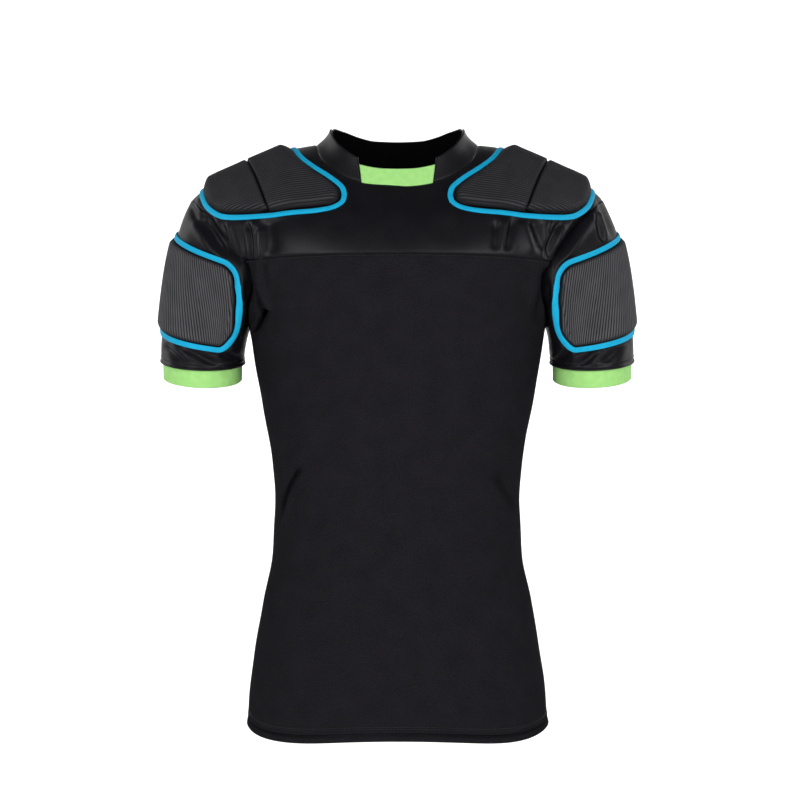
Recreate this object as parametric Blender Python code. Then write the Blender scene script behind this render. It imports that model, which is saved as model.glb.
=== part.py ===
"""Padded body-armour top for contact sport, in its worn shape with nobody in it.

Metres, +Z up, +X to the wearer's left, the front faces -Y. The origin is on the
shoulders, midway between the two points where the collar, front and back meet.
"""

import math

import bmesh
import bpy
import numpy as np


def table(columns, *rows):
    """A short table as one array for each named column."""
    return dict(zip(columns, np.array(rows, float).T))


# Cloth and seams
SEAM = 0.0003
CLOTH = 0.0015
COLLAR_CLOTH = 0.0025
CUFF_CLOTH = 0.0020
SEAT = 0.0009

# Body: level sections from the hem to above the shoulders
BODY = table(
    ("height", "half_width", "front", "back"),
    (-0.684, 0.1770, 0.1180, 0.1180),
    (-0.650, 0.1745, 0.1170, 0.1185),
    (-0.600, 0.1685, 0.1150, 0.1180),
    (-0.536, 0.1580, 0.1110, 0.1130),
    (-0.483, 0.1475, 0.1060, 0.1030),
    (-0.425, 0.1437, 0.1040, 0.0950),
    (-0.376, 0.1465, 0.1060, 0.0945),
    (-0.300, 0.1600, 0.1140, 0.1030),
    (-0.211, 0.1755, 0.1240, 0.1130),
    (-0.182, 0.1845, 0.1265, 0.1170),
    (-0.140, 0.2030, 0.1260, 0.1200),
    (-0.096, 0.2330, 0.1175, 0.1170),
    (-0.064, 0.2580, 0.1050, 0.1100),
    (0.000, 0.3000, 0.0850, 0.0950),
    (0.040, 0.3200, 0.0700, 0.0800),
)
SQUARENESS = 2.4
UNDERARM = -0.211
HEM_SIDE = -0.677
HEM_MIDDLE = -0.6815
HEM_DIP = 0.0066
CHEST_SEAM_SIDE = -0.143
CHEST_SEAM_MIDDLE = -0.136

# Shoulders: the top line of the yoke, and the height where it starts to close
CREST = table(
    ("across", "height"),
    (0.0000, 0.0280),
    (0.0120, 0.0275),
    (0.0300, 0.0220),
    (0.0915, 0.0015),
    (0.1210, -0.0035),
    (0.1500, -0.0150),
    (0.1900, -0.0325),
    (0.2200, -0.0465),
    (0.2420, -0.0640),
    (0.2600, -0.0850),
)
KNEE = -0.160
SHOULDER_POINT = 0.242
ARMHOLE_BOW = 2.1
ARMHOLE_LOWER = table(
    ("height", "half_width"),
    (-0.211, 0.1755),
    (-0.182, 0.1730),
    (-0.160, 0.1740),
    (-0.140, 0.1805),
)

# Neck seam and collar
NECK_HALF = 0.0950
NECK_DROP_FRONT = 0.0570
NECK_DROP_BACK = 0.0180
NECK_SQUARENESS = 2.1
NECK_SHARE = 0.5
RIM_WIDTH = 0.826
RIM_DEPTH = 0.900
COLLAR_END_BASE = 24.5
COLLAR_END_RIM = 34.1
TAB_END = 24.0
COLLAR_HOLLOW = 0.003
RIM = table(
    ("turn", "height"),
    (0, -0.0300),
    (10, -0.0296),
    (33, -0.0230),
    (53, -0.0094),
    (74, 0.0065),
    (90, 0.0170),
    (108, 0.0235),
    (127, 0.0214),
    (145, 0.0164),
    (160, 0.0132),
    (180, 0.0127),
)
TAB_TOP_MIDDLE = 0.77
TAB_TOP_END = 0.735

# Sleeve: its end ring and how the armhole leads into it
SLEEVE_AXIS = 0.222
SLEEVE_END = 0.2298
SLEEVE_END_DEEP = 0.002
SLEEVE_HALF_WIDTH = 0.0492
SLEEVE_HALF_DEPTH = 0.0520
SLEEVE_END_HEIGHT = -0.255
SLEEVE_END_SLOPE = 0.011
SLEEVE_END_LEAN = 0.002
SLEEVE_FLARE = 0.25
SLEEVE_FLARE_OUT = 0.28
SLEEVE_WAIST = 0.002

# Cuff: an elastic band sewn inside the sleeve end
CUFF_TUCK = 0.006
CUFF_DROP = 0.020
CUFF_NARROW = 0.0030

# Shoulder pad outline: reach over the shoulder from its top line, and the two edges there
SHOULDER_PAD = table(
    ("reach", "inner", "outer"),
    (0.0000, 0.1233, 0.2285),
    (0.0310, 0.1165, 0.2280),
    (0.0490, 0.1085, 0.2260),
    (0.0676, 0.0940, 0.2225),
    (0.0846, 0.0785, 0.2170),
    (0.1020, 0.0645, 0.2070),
    (0.1120, 0.0604, 0.1965),
    (0.1200, 0.0603, 0.1800),
    (0.1265, 0.0640, 0.1580),
    (0.1310, 0.0800, 0.1300),
)
REACH_SECTION = 0.120
GROOVE_TOP = 0.1740
GROOVE_LEAN = 0.280
GROOVE_ROUND = 0.020
OUTER_REACH = 0.122
SHOULDER_THICK = 0.0095
SHOULDER_BEVEL = 0.0090
GROOVE_BEVEL = 0.0030

# Bicep pad: its corners on the sleeve, round the arm and up from the sleeve end
BICEP_PAD = table(
    ("turn_low", "turn_high", "low", "high"),
    (-132, -119, 0.022, 0.1235),
    (60, 60, 0.046, 0.1420),
)
BICEP_BOW = 0.015
BICEP_SECTION = 0.55
BICEP_TALL = 0.104
BICEP_CORNERS = (0.022, 0.034, 0.012, 0.022)
BICEP_THICK = 0.0050
BICEP_BEVEL = 0.0055

# Ribs of the pad covers and the tape round the pads
RIB_PITCH = 0.0032
RIB_DEEP = 0.0007
PAD_EDGE = 0.0020
TAPE_WIDE = 0.0060
TAPE_THICK = 0.0010
PAD_GAP = 0.0010
BICEP_SEAT = 0.0018

# Largest folds: a trough from one point to another, as seen from the front
FOLDS = table(
    ("x0", "z0", "x1", "z1", "wide", "deep"),
    (-0.150, -0.176, -0.158, -0.210, 0.011, 0.0045),
    (0.152, -0.178, 0.160, -0.214, 0.011, 0.0045),
    (-0.112, -0.382, -0.142, -0.442, 0.013, 0.0040),
    (0.116, -0.386, 0.141, -0.432, 0.013, 0.0040),
    (-0.170, -0.096, -0.167, -0.110, 0.009, 0.0030),
    (0.172, -0.096, 0.168, -0.110, 0.009, 0.0030),
)

FOLD_CLEAR = 0.15

# How finely each piece is divided
BODY_COLUMNS = 20
LOW_ROWS = 11
ARM_ROWS = 5
YOKE_ROWS = 8
SLEEVE_ROWS = 8
COLLAR_ROWS = 3
TAB_COLUMNS = 6
TAPE_STEPS = 54
BASE_COLUMNS = 6

COLOURS = {
    "matte knit": (0.017, 0.016, 0.018, 1.0),
    "shiny knit": (0.009, 0.009, 0.011, 1.0),
    "pad cover": (0.030, 0.031, 0.035, 1.0),
    "blue tape": (0.007, 0.400, 0.750, 1.0),
    "green elastic": (0.260, 0.750, 0.120, 1.0),
}


def smooth(known, values, at):
    """Values between the rows of a table, on a curve that keeps to its rises and falls."""
    at = np.asarray(at, float)
    steps = np.diff(known)
    slopes = np.diff(values) / steps
    tangents = np.concatenate([[slopes[0]], np.zeros(len(slopes) - 1), [slopes[-1]]])
    for i in range(1, len(slopes)):
        if slopes[i - 1] * slopes[i] > 0:
            first = 2 * steps[i] + steps[i - 1]
            second = steps[i] + 2 * steps[i - 1]
            tangents[i] = (first + second) / (first / slopes[i - 1] + second / slopes[i])
    i = np.clip(np.searchsorted(known, at) - 1, 0, len(steps) - 1)
    t = np.clip((at - known[i]) / steps[i], 0, 1)
    rise = t * t * (3 - 2 * t)
    lead = t * (1 - t) ** 2 * steps[i] * tangents[i]
    trail = t * t * (1 - t) * steps[i] * tangents[i + 1]
    return values[i] + rise * (values[i + 1] - values[i]) + lead - trail


def unit(vectors):
    """Each vector at length one."""
    return vectors / np.maximum(np.linalg.norm(vectors, axis=-1, keepdims=True), 1e-12)


def power(value, exponent):
    """A power that keeps the value's sign."""
    return np.sign(value) * np.abs(value) ** exponent


def half_width(height):
    """Half the body's width at a height."""
    return smooth(BODY["height"], BODY["half_width"], height)


def crest(across):
    """Height of the shoulder line at a distance from the middle."""
    return smooth(CREST["across"], CREST["height"], np.abs(across))


def depth(side, across, height, closing):
    """How far the front (side -1) or back (side 1) stands from the side seams."""
    reach = smooth(BODY["height"], BODY["front" if side < 0 else "back"], height)
    share = np.clip(1 - np.abs(across / half_width(height)) ** SQUARENESS, 0, 1)
    return side * (SEAM / 2 + reach * share ** (1 / SQUARENESS) * closing)


def on_body(side, across, height):
    """Points of the front or back at a distance across and a height."""
    lean = np.clip((height - KNEE) / (crest(across) - KNEE), 0, 1)
    return np.stack([across, depth(side, across, height, np.sqrt(1 - lean ** 2)), height], -1)


def on_shoulder(side, across, turn):
    """Points of the front or back by the turn up to the shoulder line, in radians."""
    height = KNEE + (crest(across) - KNEE) * np.sin(turn)
    return np.stack([across, depth(side, across, height, np.cos(turn)), height], -1)


def turn_of(across, height):
    """The turn at which a height is met."""
    return np.arcsin(np.clip((height - KNEE) / (crest(across) - KNEE), -1, 1))


def level(share, side_height, middle_height):
    """Height of a row that runs lower or higher in the middle than at its ends."""
    return side_height + (middle_height - side_height) * (1 - share ** 2)


def across_at(share, height):
    """Distance across for a share of the panel's width at a height."""
    edge = smooth(ARMHOLE_LOWER["height"], ARMHOLE_LOWER["half_width"], height)
    limit = np.where(height <= UNDERARM, 1, edge / half_width(height))
    turn = share * np.arcsin(np.clip(limit, 0, 1) ** (SQUARENESS / 2))
    return half_width(height) * power(np.sin(turn), 2 / SQUARENESS)


def folded(points, side, share):
    """Front points with the largest folds pressed into them, none at the panel's side edges."""
    if side > 0:
        return points
    points = points.copy()
    free = np.clip((1 - np.abs(share)) / FOLD_CLEAR, 0, 1)
    for x0, z0, x1, z1, wide, deep in zip(*FOLDS.values()):
        run = np.array([x1 - x0, z1 - z0])
        away = points[..., [0, 2]] - (x0, z0)
        along = np.clip(away @ run / (run @ run), 0, 1)
        gap = np.linalg.norm(away - along[..., None] * run, axis=-1)
        points[..., 1] += deep * free * np.exp(-(gap / wide) ** 2)
    return points


def arm_heights(steps):
    """Heights from under the arm to the chest seam, closer together under the arm."""
    return UNDERARM + (CHEST_SEAM_SIDE - UNDERARM) * np.linspace(0, 1, steps + 1) ** 2


def body_rows(side):
    """Outer points of the lower front or back, from the hem to the chest seam."""
    share = np.linspace(-1, 1, BODY_COLUMNS + 1)
    sides = np.concatenate([np.linspace(HEM_SIDE, UNDERARM, LOW_ROWS + 1), arm_heights(ARM_ROWS)[1:]])
    rise = (sides - HEM_SIDE) / (CHEST_SEAM_SIDE - HEM_SIDE)
    middle = HEM_MIDDLE + (CHEST_SEAM_MIDDLE - HEM_MIDDLE) * rise
    rows = []
    dip = HEM_DIP * np.sin(math.pi * share) ** 2 if side < 0 else 0
    for side_height, middle_height, low in zip(sides, middle, (1 - rise) ** 4):
        height = level(share, side_height, middle_height) - dip * low
        rows.append(on_body(side, across_at(share, height), height))
    return folded(np.array(rows), side, share)


def neck(turn, side):
    """Across and height of the neck seam, from the middle (0) to the shoulder (90 degrees)."""
    drop = NECK_DROP_FRONT if side < 0 else NECK_DROP_BACK
    across = NECK_HALF * power(np.sin(turn), 2 / NECK_SQUARENESS)
    return across, crest(NECK_HALF) - drop * np.abs(np.cos(turn)) ** (2 / NECK_SQUARENESS)


def yoke_at(side, share, rise):
    """Points of the upper front or back, from the chest seam (0) to the neck and shoulder (1)."""
    low = level(share, CHEST_SEAM_SIDE, CHEST_SEAM_MIDDLE)
    low_across = across_at(share, low)
    neck_turn = np.clip(share / NECK_SHARE, -1, 1) * math.pi / 2
    neck_across, neck_height = neck(neck_turn, side)
    out = np.clip((np.abs(share) - NECK_SHARE) / (1 - NECK_SHARE), 0, 1)
    high_across = np.where(out > 0, np.sign(share) * (NECK_HALF + (SHOULDER_POINT - NECK_HALF) * out),
                           neck_across)
    high_turn = np.where(out > 0, math.pi / 2, turn_of(neck_across, neck_height))
    across = low_across + (high_across - low_across) * (1 - (1 - rise) ** ARMHOLE_BOW)
    low_turn = turn_of(low_across, low + SEAM)
    return on_shoulder(side, across, low_turn + (high_turn - low_turn) * rise)


def yoke_rows(side):
    """Outer points of the upper front or back."""
    share, rise = np.meshgrid(np.linspace(-1, 1, BODY_COLUMNS + 1), np.linspace(0, 1, YOKE_ROWS + 1))
    return folded(yoke_at(side, share, rise), side, share)


def armhole(side, low_steps, high_steps):
    """Left armhole edge on one side, from under the arm to the shoulder."""
    heights = arm_heights(low_steps)
    low = on_body(side, across_at(np.ones_like(heights), heights), heights)
    rise = np.linspace(0, 1, high_steps + 1)[1:]
    return np.concatenate([low, yoke_at(side, np.ones_like(rise), rise)])


def arm_turn(points):
    """Angle of points round the arm: 0 on its outside, negative at the front."""
    return np.arctan2(points[:, 1], points[:, 0] - SLEEVE_AXIS)


ARMHOLE_EDGE = np.concatenate([armhole(-1, 60, 120), armhole(1, 60, 120)[::-1]])
ARMHOLE_TURN = np.unwrap(arm_turn(ARMHOLE_EDGE))


def sleeve_at(turn, share):
    """Points of the left sleeve: the angle round the arm, and 0 at the armhole to 1 at its end."""
    start = np.stack([np.interp(turn, ARMHOLE_TURN, ARMHOLE_EDGE[:, axis]) for axis in range(3)], -1)
    start = start + (SEAM, 0, 0)
    round_arm = np.stack([np.cos(turn), np.sin(turn), np.zeros_like(turn)], -1)
    end = round_arm * (SLEEVE_HALF_WIDTH, SLEEVE_HALF_DEPTH, 0) + (SLEEVE_END, SLEEVE_END_DEEP, 0)
    end[..., 2] = SLEEVE_END_HEIGHT + SLEEVE_END_SLOPE * np.sin(turn) + SLEEVE_END_LEAN * np.cos(turn)
    length = np.linalg.norm(end - start, axis=-1, keepdims=True)
    flare = SLEEVE_FLARE + SLEEVE_FLARE_OUT * np.cos(turn)
    lead = length * unit(round_arm * flare[..., None] - (0, 0, 1))
    trail = length * np.array([0, 0, -1])
    t = share[..., None]
    rise = t * t * (3 - 2 * t)
    waist = SLEEVE_WAIST * (t / 0.6) ** 3 * ((1 - t) / 0.4) ** 2 * np.maximum(np.cos(turn), 0)[..., None]
    bend = t * (1 - t) ** 2 * lead - t * t * (1 - t) * trail
    return start + rise * (end - start) + bend - waist * round_arm


def normals_of(rows, closed):
    """Normals of a grid of points."""
    if closed:
        along = np.roll(rows, -1, 1) - np.roll(rows, 1, 1)
    else:
        along = np.gradient(rows, axis=1, edge_order=2)
    return unit(np.cross(along, np.gradient(rows, axis=0, edge_order=2)))


def add(name, points, faces, colour):
    """One named solid with its own material."""
    bm = bmesh.new()
    verts = [bm.verts.new(point) for point in points]
    for face in faces:
        bm.faces.new([verts[i] for i in face])
    bmesh.ops.recalc_face_normals(bm, faces=bm.faces)
    bmesh.ops.triangulate(bm, faces=bm.faces)
    mesh = bpy.data.meshes.new(name)
    bm.to_mesh(mesh)
    bm.free()
    material = bpy.data.materials.new(name)
    material.use_nodes = True
    shader = next(node for node in material.node_tree.nodes if node.type == "BSDF_PRINCIPLED")
    shader.inputs["Base Color"].default_value = COLOURS[colour]
    shader.inputs["Roughness"].default_value = 0.7
    material.diffuse_color = COLOURS[colour]
    mesh.materials.append(material)
    bpy.context.collection.objects.link(bpy.data.objects.new(name, mesh))


def outward(rows, inside, closed=False):
    """Normals of a grid of points that face away from a point inside."""
    normals = normals_of(rows, closed)
    return normals if np.sum(normals * (rows - inside)) > 0 else -normals


def wall(name, outer, thick, colour, inside, closed=False, first_normals=None, first_share=None):
    """A cloth wall: the outer grid, the same grid moved in by its thickness, and the rims.

    The first row's normals can be turned toward those of the piece it is sewn to.
    """
    normals = outward(outer, inside, closed)
    if first_normals is not None:
        normals[0] = unit(normals[0] * (1 - first_share[:, None]) + first_normals * first_share[:, None])
    inner = outer - normals * thick
    rows, columns = outer.shape[:2]
    size = rows * columns
    points = np.concatenate([outer.reshape(-1, 3), inner.reshape(-1, 3)])
    steps = columns if closed else columns - 1
    faces = []
    for r in range(rows):
        for c in range(steps):
            a, b = r * columns + c, r * columns + (c + 1) % columns
            if r < rows - 1:
                faces.append((a, b, b + columns, a + columns))
                faces.append((a + size, a + columns + size, b + columns + size, b + size))
            if r in (0, rows - 1):
                faces.append((a, b, b + size, a + size))
    if not closed:
        for r in range(rows - 1):
            for c in (0, columns - 1):
                a = r * columns + c
                faces.append((a, a + columns, a + columns + size, a + size))
    add(name, points, faces, colour)


def mirrored(points, hand):
    """Points of the left piece, or of the right one when hand is -1."""
    return points * (hand, 1, 1)


def closed_curve(points, steps):
    """A smooth closed line through points, evenly stepped."""
    share = np.linspace(0, 1, 12, endpoint=False)[:, None]
    before, after, later = np.roll(points, 1, 0), np.roll(points, -1, 0), np.roll(points, -2, 0)
    fine = []
    for p0, p1, p2, p3 in zip(before, points, after, later):
        fine.append(0.5 * (2 * p1 + (p2 - p0) * share + (2 * p0 - 5 * p1 + 4 * p2 - p3) * share ** 2
                           + (3 * p1 - p0 - 3 * p2 + p3) * share ** 3))
    return evenly(np.concatenate(fine), steps)


def evenly(points, steps):
    """Evenly stepped points along a closed line."""
    loop = np.concatenate([points, points[:1]])
    along = np.concatenate([[0], np.cumsum(np.linalg.norm(np.diff(loop, axis=0), axis=1))])
    at = np.linspace(0, along[-1], steps, endpoint=False)
    return np.stack([np.interp(at, along, loop[:, axis]) for axis in (0, 1)], -1)


def inset(chart, line, distance):
    """A closed line on a chart, moved in by a distance along the surface."""
    step = 1e-4
    first, second = line.T
    one = (chart(first + step, second) - chart(first - step, second)) / (2 * step)
    two = (chart(first, second + step) - chart(first, second - step)) / (2 * step)
    run = np.roll(line, -1, 0) - np.roll(line, 1, 0)
    ahead = run[:, :1] * one + run[:, 1:] * two
    inward = np.stack([-np.sum(ahead * two, -1), np.sum(ahead * one, -1)], -1)
    inward /= np.linalg.norm(inward[:, :1] * one + inward[:, 1:] * two, axis=-1)[:, None]
    if np.sum(inward * (line.mean(0) - line)) < 0:
        inward = -inward
    return line + inward * distance


def span(line, at):
    """Where a row across the ribs enters and leaves a closed line."""
    following = np.roll(line, -1, 0)
    hits = []
    for (a0, b0), (a1, b1) in zip(line, following):
        if (a0 - at) * (a1 - at) <= 0 and a0 != a1:
            hits.append(b0 + (b1 - b0) * (at - a0) / (a1 - a0))
    return min(hits), max(hits)


def lifted(chart, first, second, height):
    """Points above a surface that a chart gives, at a height along its normal."""
    step = 1e-4
    points = chart(first, second)
    along = chart(first + step, second) - chart(first - step, second)
    beside = chart(first, second + step) - chart(first, second - step)
    return points + unit(np.cross(beside, along)) * np.asarray(height)[..., None]


def tape(name, chart, line, seat, hand):
    """A flat tape along a closed line on a surface."""
    out, back = inset(chart, line, -TAPE_WIDE / 2), inset(chart, line, TAPE_WIDE / 2)
    level_points = []
    for edge, height in ((out, seat), (back, seat), (back, seat + TAPE_THICK), (out, seat + TAPE_THICK)):
        level_points.append(lifted(chart, edge[:, 0], edge[:, 1], np.full(len(edge), height)))
    points = mirrored(np.stack(level_points, 1).reshape(-1, 3), hand)
    faces = []
    for i in range(len(line)):
        j = (i + 1) % len(line)
        for k in range(4):
            m = (k + 1) % 4
            faces.append((4 * i + k, 4 * j + k, 4 * j + m, 4 * i + m))
    add(name, points, faces, "blue tape")


def zipped(first, second):
    """Triangles between two lines of points that run the same way."""
    faces = []
    i = j = 0
    while i < len(first) - 1 or j < len(second) - 1:
        ahead = (i + 1) / max(len(first) - 1, 1)
        if j == len(second) - 1 or (i < len(first) - 1 and ahead <= (j + 1) / (len(second) - 1)):
            faces.append((first[i], first[i + 1], second[j]))
            i += 1
        else:
            faces.append((first[i], second[j + 1], second[j]))
            j += 1
    return faces


def pad(name, chart, edges, reach, base_rows, seat, thick, bevels, hand):
    """A foam pad with sloping sides and a ribbed cover over a plain underside.

    edges gives both ends of a rib, reach the first and last rib, bevels the width of
    the slope at the rib's two ends and at the first and last rib.
    """
    ribs = max(2, round((reach[1] - reach[0]) / RIB_PITCH))
    fine = np.linspace(reach[0], reach[1], 2 * ribs + 1)
    coarse = np.linspace(reach[0], reach[1], base_rows + 1)
    low_slope, high_slope, end_slope = bevels

    def row(at, end_share, rib):
        low, high = edges(at)
        first = min(low_slope, 0.4 * (high - low))
        last = min(high_slope, 0.4 * (high - low))
        share = np.minimum([0, first / low_slope, last / high_slope, 0], end_share)
        height = seat + (PAD_EDGE + (thick - PAD_EDGE) * np.sqrt(share * (2 - share)) - rib * share)
        along = np.array([low, low + first, high - last, high])
        return lifted(chart, np.full(4, at), along, height)

    outer = []
    for i, at in enumerate(fine):
        end_share = min(1, (at - reach[0]) / end_slope, (reach[1] - at) / end_slope)
        outer.append(row(at, end_share, RIB_DEEP if i % 2 else 0))
    base = []
    for at in coarse:
        along = np.linspace(*edges(at), BASE_COLUMNS + 1)
        base.append(lifted(chart, np.full(len(along), at), along, np.full(len(along), seat)))
    outer, base = np.array(outer), np.array(base)
    points = mirrored(np.concatenate([outer.reshape(-1, 3), base.reshape(-1, 3)]), hand)
    top = np.arange(outer.size // 3).reshape(outer.shape[:2])
    under = top.size + np.arange(base.size // 3).reshape(base.shape[:2])
    faces = []
    for grid in (top, under):
        corners = np.stack([grid[:-1, :-1], grid[:-1, 1:], grid[1:, 1:], grid[1:, :-1]], -1)
        faces += corners.reshape(-1, 4).tolist()
    for end in (0, -1):
        faces += zipped(top[end].tolist(), under[end].tolist())
        faces += zipped(top[:, end].tolist(), under[:, end].tolist())
    add(name, points, faces, "pad cover")


# Reach over the shoulder for each turn, on one section, front and back
def reach_table(side):
    """Turns from the shoulder line down, and the reach at each."""
    turns = np.radians(np.linspace(90, 5, 400))
    points = on_shoulder(side, np.full(400, REACH_SECTION), turns)
    steps = np.linalg.norm(np.diff(points, axis=0), axis=1)
    return turns, np.concatenate([[0], np.cumsum(steps)])


FRONT_REACH = reach_table(-1)
BACK_REACH = reach_table(1)


def shoulder_chart(reach, across):
    """Yoke points by reach over the shoulder (front negative) and distance across."""
    reach, across = np.broadcast_arrays(reach, across)
    front = on_shoulder(-1, across, np.interp(-reach, FRONT_REACH[1], FRONT_REACH[0]))
    back = on_shoulder(1, across, np.interp(reach, BACK_REACH[1], BACK_REACH[0]))
    return np.where((reach < 0)[..., None], front, back)


# Distance round the arm for each turn, on one section of the sleeve
ARM_TURNS = np.radians(np.linspace(-150, 90, 400))
ARM_SECTION = sleeve_at(ARM_TURNS, np.full(400, BICEP_SECTION))
ARM_REACH = np.concatenate([[0], np.cumsum(np.linalg.norm(np.diff(ARM_SECTION, axis=0), axis=1))])
ARM_EDGES = np.radians([(BICEP_PAD["turn_low"][0] + BICEP_PAD["turn_high"][0]) / 2, BICEP_PAD["turn_low"][1]])
BICEP_WIDE = float(np.diff(np.interp(ARM_EDGES, ARM_TURNS, ARM_REACH))[0])


def bicep_chart(round_arm, down):
    """Sleeve points by distance round the arm and down the pad."""
    u, v = np.broadcast_arrays(round_arm / BICEP_WIDE, 1 - down / BICEP_TALL)
    low, high = BICEP_PAD["low"], BICEP_PAD["high"]
    first = np.radians(BICEP_PAD["turn_low"][0] * (1 - v) + BICEP_PAD["turn_high"][0] * v)
    last = np.radians(BICEP_PAD["turn_low"][1])
    reach = np.interp(first, ARM_TURNS, ARM_REACH) * (1 - u) + np.interp(last, ARM_TURNS, ARM_REACH) * u
    turn = np.interp(reach, ARM_REACH, ARM_TURNS)
    u = (turn - first) / (last - first)
    bottom = low[0] * (1 - u) + low[1] * u
    top = high[0] * (1 - u) + high[1] * u + BICEP_BOW * 4 * u * (1 - u)
    wanted = bottom * (1 - v) + top * v
    shares = np.linspace(1, 0, 41)
    points = sleeve_at(np.broadcast_to(turn[..., None], turn.shape + (41,)),
                       np.broadcast_to(shares, turn.shape + (41,)))
    steps = np.linalg.norm(np.diff(points, axis=-2), axis=-1)
    lengths = np.concatenate([np.zeros(turn.shape + (1,)), np.cumsum(steps, -1)], -1)
    found = [np.interp(want, length, shares) for want, length
             in zip(wanted.ravel(), lengths.reshape(-1, 41))]
    return sleeve_at(turn, np.array(found).reshape(turn.shape))


def rounded_box(wide, tall, radii, per_corner):
    """A rectangle with a radius at each corner: back low, front low, front high and back high."""
    points = []
    for radius, (far, low), start in zip(radii, ((1, 1), (0, 1), (0, 0), (1, 0)), (0, 90, 180, 270)):
        x = wide - radius if far else radius
        y = tall - radius if low else radius
        for angle in np.radians(start + np.linspace(0, 90, per_corner)):
            points.append((x + radius * math.cos(angle), y + radius * math.sin(angle)))
    return np.array(points)


for leftover in list(bpy.data.objects):
    bpy.data.objects.remove(leftover)

AXIS = np.array([0.0, 0.0, -0.35])

# Body and yoke
for word, side in (("front", -1), ("back", 1)):
    wall(word + "_body", body_rows(side), CLOTH, "matte knit", AXIS)
    wall(word + "_yoke", yoke_rows(side), CLOTH, "shiny knit", AXIS)

# Sleeves and cuffs, with a column at each point of the armhole
EDGE_FRONT = armhole(-1, ARM_ROWS, YOKE_ROWS)
EDGE_BACK = armhole(1, ARM_ROWS, YOKE_ROWS)
RING = np.concatenate([EDGE_FRONT, EDGE_BACK[-2:0:-1]])
RING_TURN = np.unwrap(arm_turn(RING))
FRONT_NORMALS, BACK_NORMALS = [
    np.concatenate([outward(body_rows(side), AXIS)[LOW_ROWS:, -1], outward(yoke_rows(side), AXIS)[1:, -1]])
    for side in (-1, 1)]
RING_NORMALS = np.concatenate([FRONT_NORMALS, BACK_NORMALS[-2:0:-1]])
SLEEVE_GRID = sleeve_at(*np.meshgrid(RING_TURN, np.linspace(0, 1, SLEEVE_ROWS + 1)))
for word, hand in (("left", 1), ("right", -1)):
    middle = np.array([SLEEVE_END, 0, -0.2])
    wall("sleeve_" + word, mirrored(SLEEVE_GRID, hand), CLOTH, "shiny knit", mirrored(middle, hand),
         closed=True, first_normals=mirrored(RING_NORMALS, hand), first_share=(1 + np.cos(RING_TURN)) / 2)
    ring = SLEEVE_GRID[-1]
    centre = ring.mean(0)
    cuff = []
    for drop, narrow in ((-CUFF_TUCK, CLOTH + SEAM), (0, CLOTH + SEAM), (0.003, CUFF_NARROW * 0.8),
                         (CUFF_DROP, CUFF_NARROW)):
        flat = unit((ring - centre) * (1, 1, 0))
        cuff.append(ring - flat * narrow - (0, 0, drop))
    wall("cuff_" + word, mirrored(np.array(cuff), hand), CUFF_CLOTH, "green elastic",
         mirrored(centre, hand), closed=True)


# Neck seam: the corner points of the yoke's edge, from the front middle to the back middle
NECK_STEP = math.pi / (BODY_COLUMNS * NECK_SHARE)
NECK_FRONT = np.arange(0, math.pi / 2 + 1e-6, NECK_STEP)
NECK_TURN = np.concatenate([NECK_FRONT, math.pi - NECK_FRONT[-2::-1]])
NECK_SHARES = NECK_FRONT / (math.pi / 2) * NECK_SHARE
NECK_EDGE = np.concatenate([yoke_at(-1, NECK_SHARES, np.ones_like(NECK_SHARES)),
                            yoke_at(1, NECK_SHARES[-2::-1], np.ones_like(NECK_SHARES[1:]))])


def band_at(turn, end, share):
    """Points of the neck band: the turn from the front middle, and 0 at the seam to 1 at the rim."""
    at = np.abs(turn)
    seam = np.stack([np.interp(at, NECK_TURN, NECK_EDGE[:, axis]) for axis in range(3)], -1)
    seam = seam * np.stack([np.sign(turn), np.ones_like(turn), np.ones_like(turn)], -1)
    rim_height = smooth(RIM["turn"], RIM["height"], np.degrees(np.abs(end)))
    rim = np.stack([RIM_WIDTH * NECK_HALF * power(np.sin(end), 2 / NECK_SQUARENESS),
                    RIM_DEPTH * seam[..., 1], rim_height], -1)
    seam = seam + SEAM * unit(rim - seam)
    hollow = COLLAR_HOLLOW * np.sin(math.pi * share) * np.sin(turn) ** 2
    return seam + (rim - seam) * share[..., None] - unit(seam * (1, 1, 0)) * hollow[..., None]


# Collar: from one front end round the back to the other
half_turn = np.concatenate([[math.radians(COLLAR_END_BASE)],
                            np.arange(2 * NECK_STEP, math.pi + 1e-6, NECK_STEP / 2)])
spread = (math.pi - math.radians(COLLAR_END_RIM)) / (math.pi - math.radians(COLLAR_END_BASE))
half_rim = math.pi - (math.pi - half_turn) * spread
base = np.concatenate([half_turn, -half_turn[-2::-1]])
rim = np.concatenate([half_rim, -half_rim[-2::-1]])
shares = np.linspace(0, 1, COLLAR_ROWS + 1)
collar = np.array([band_at(base, rim, np.full(base.shape, share)) for share in shares])
wall("collar", collar, COLLAR_CLOTH, "shiny knit", np.zeros(3))

# Tab: the plain insert between the collar's front ends
tab_turn = np.radians(np.linspace(-TAB_END, TAB_END, TAB_COLUMNS + 1))
tab_end = tab_turn * COLLAR_END_RIM / COLLAR_END_BASE
tab_top = level(np.linspace(-1, 1, TAB_COLUMNS + 1), TAB_TOP_END, TAB_TOP_MIDDLE)
tab = np.array([band_at(tab_turn, tab_end, tab_top * share) for share in (0, 0.5, 1)])
wall("collar_tab", tab, COLLAR_CLOTH, "green elastic", np.zeros(3))

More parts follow.
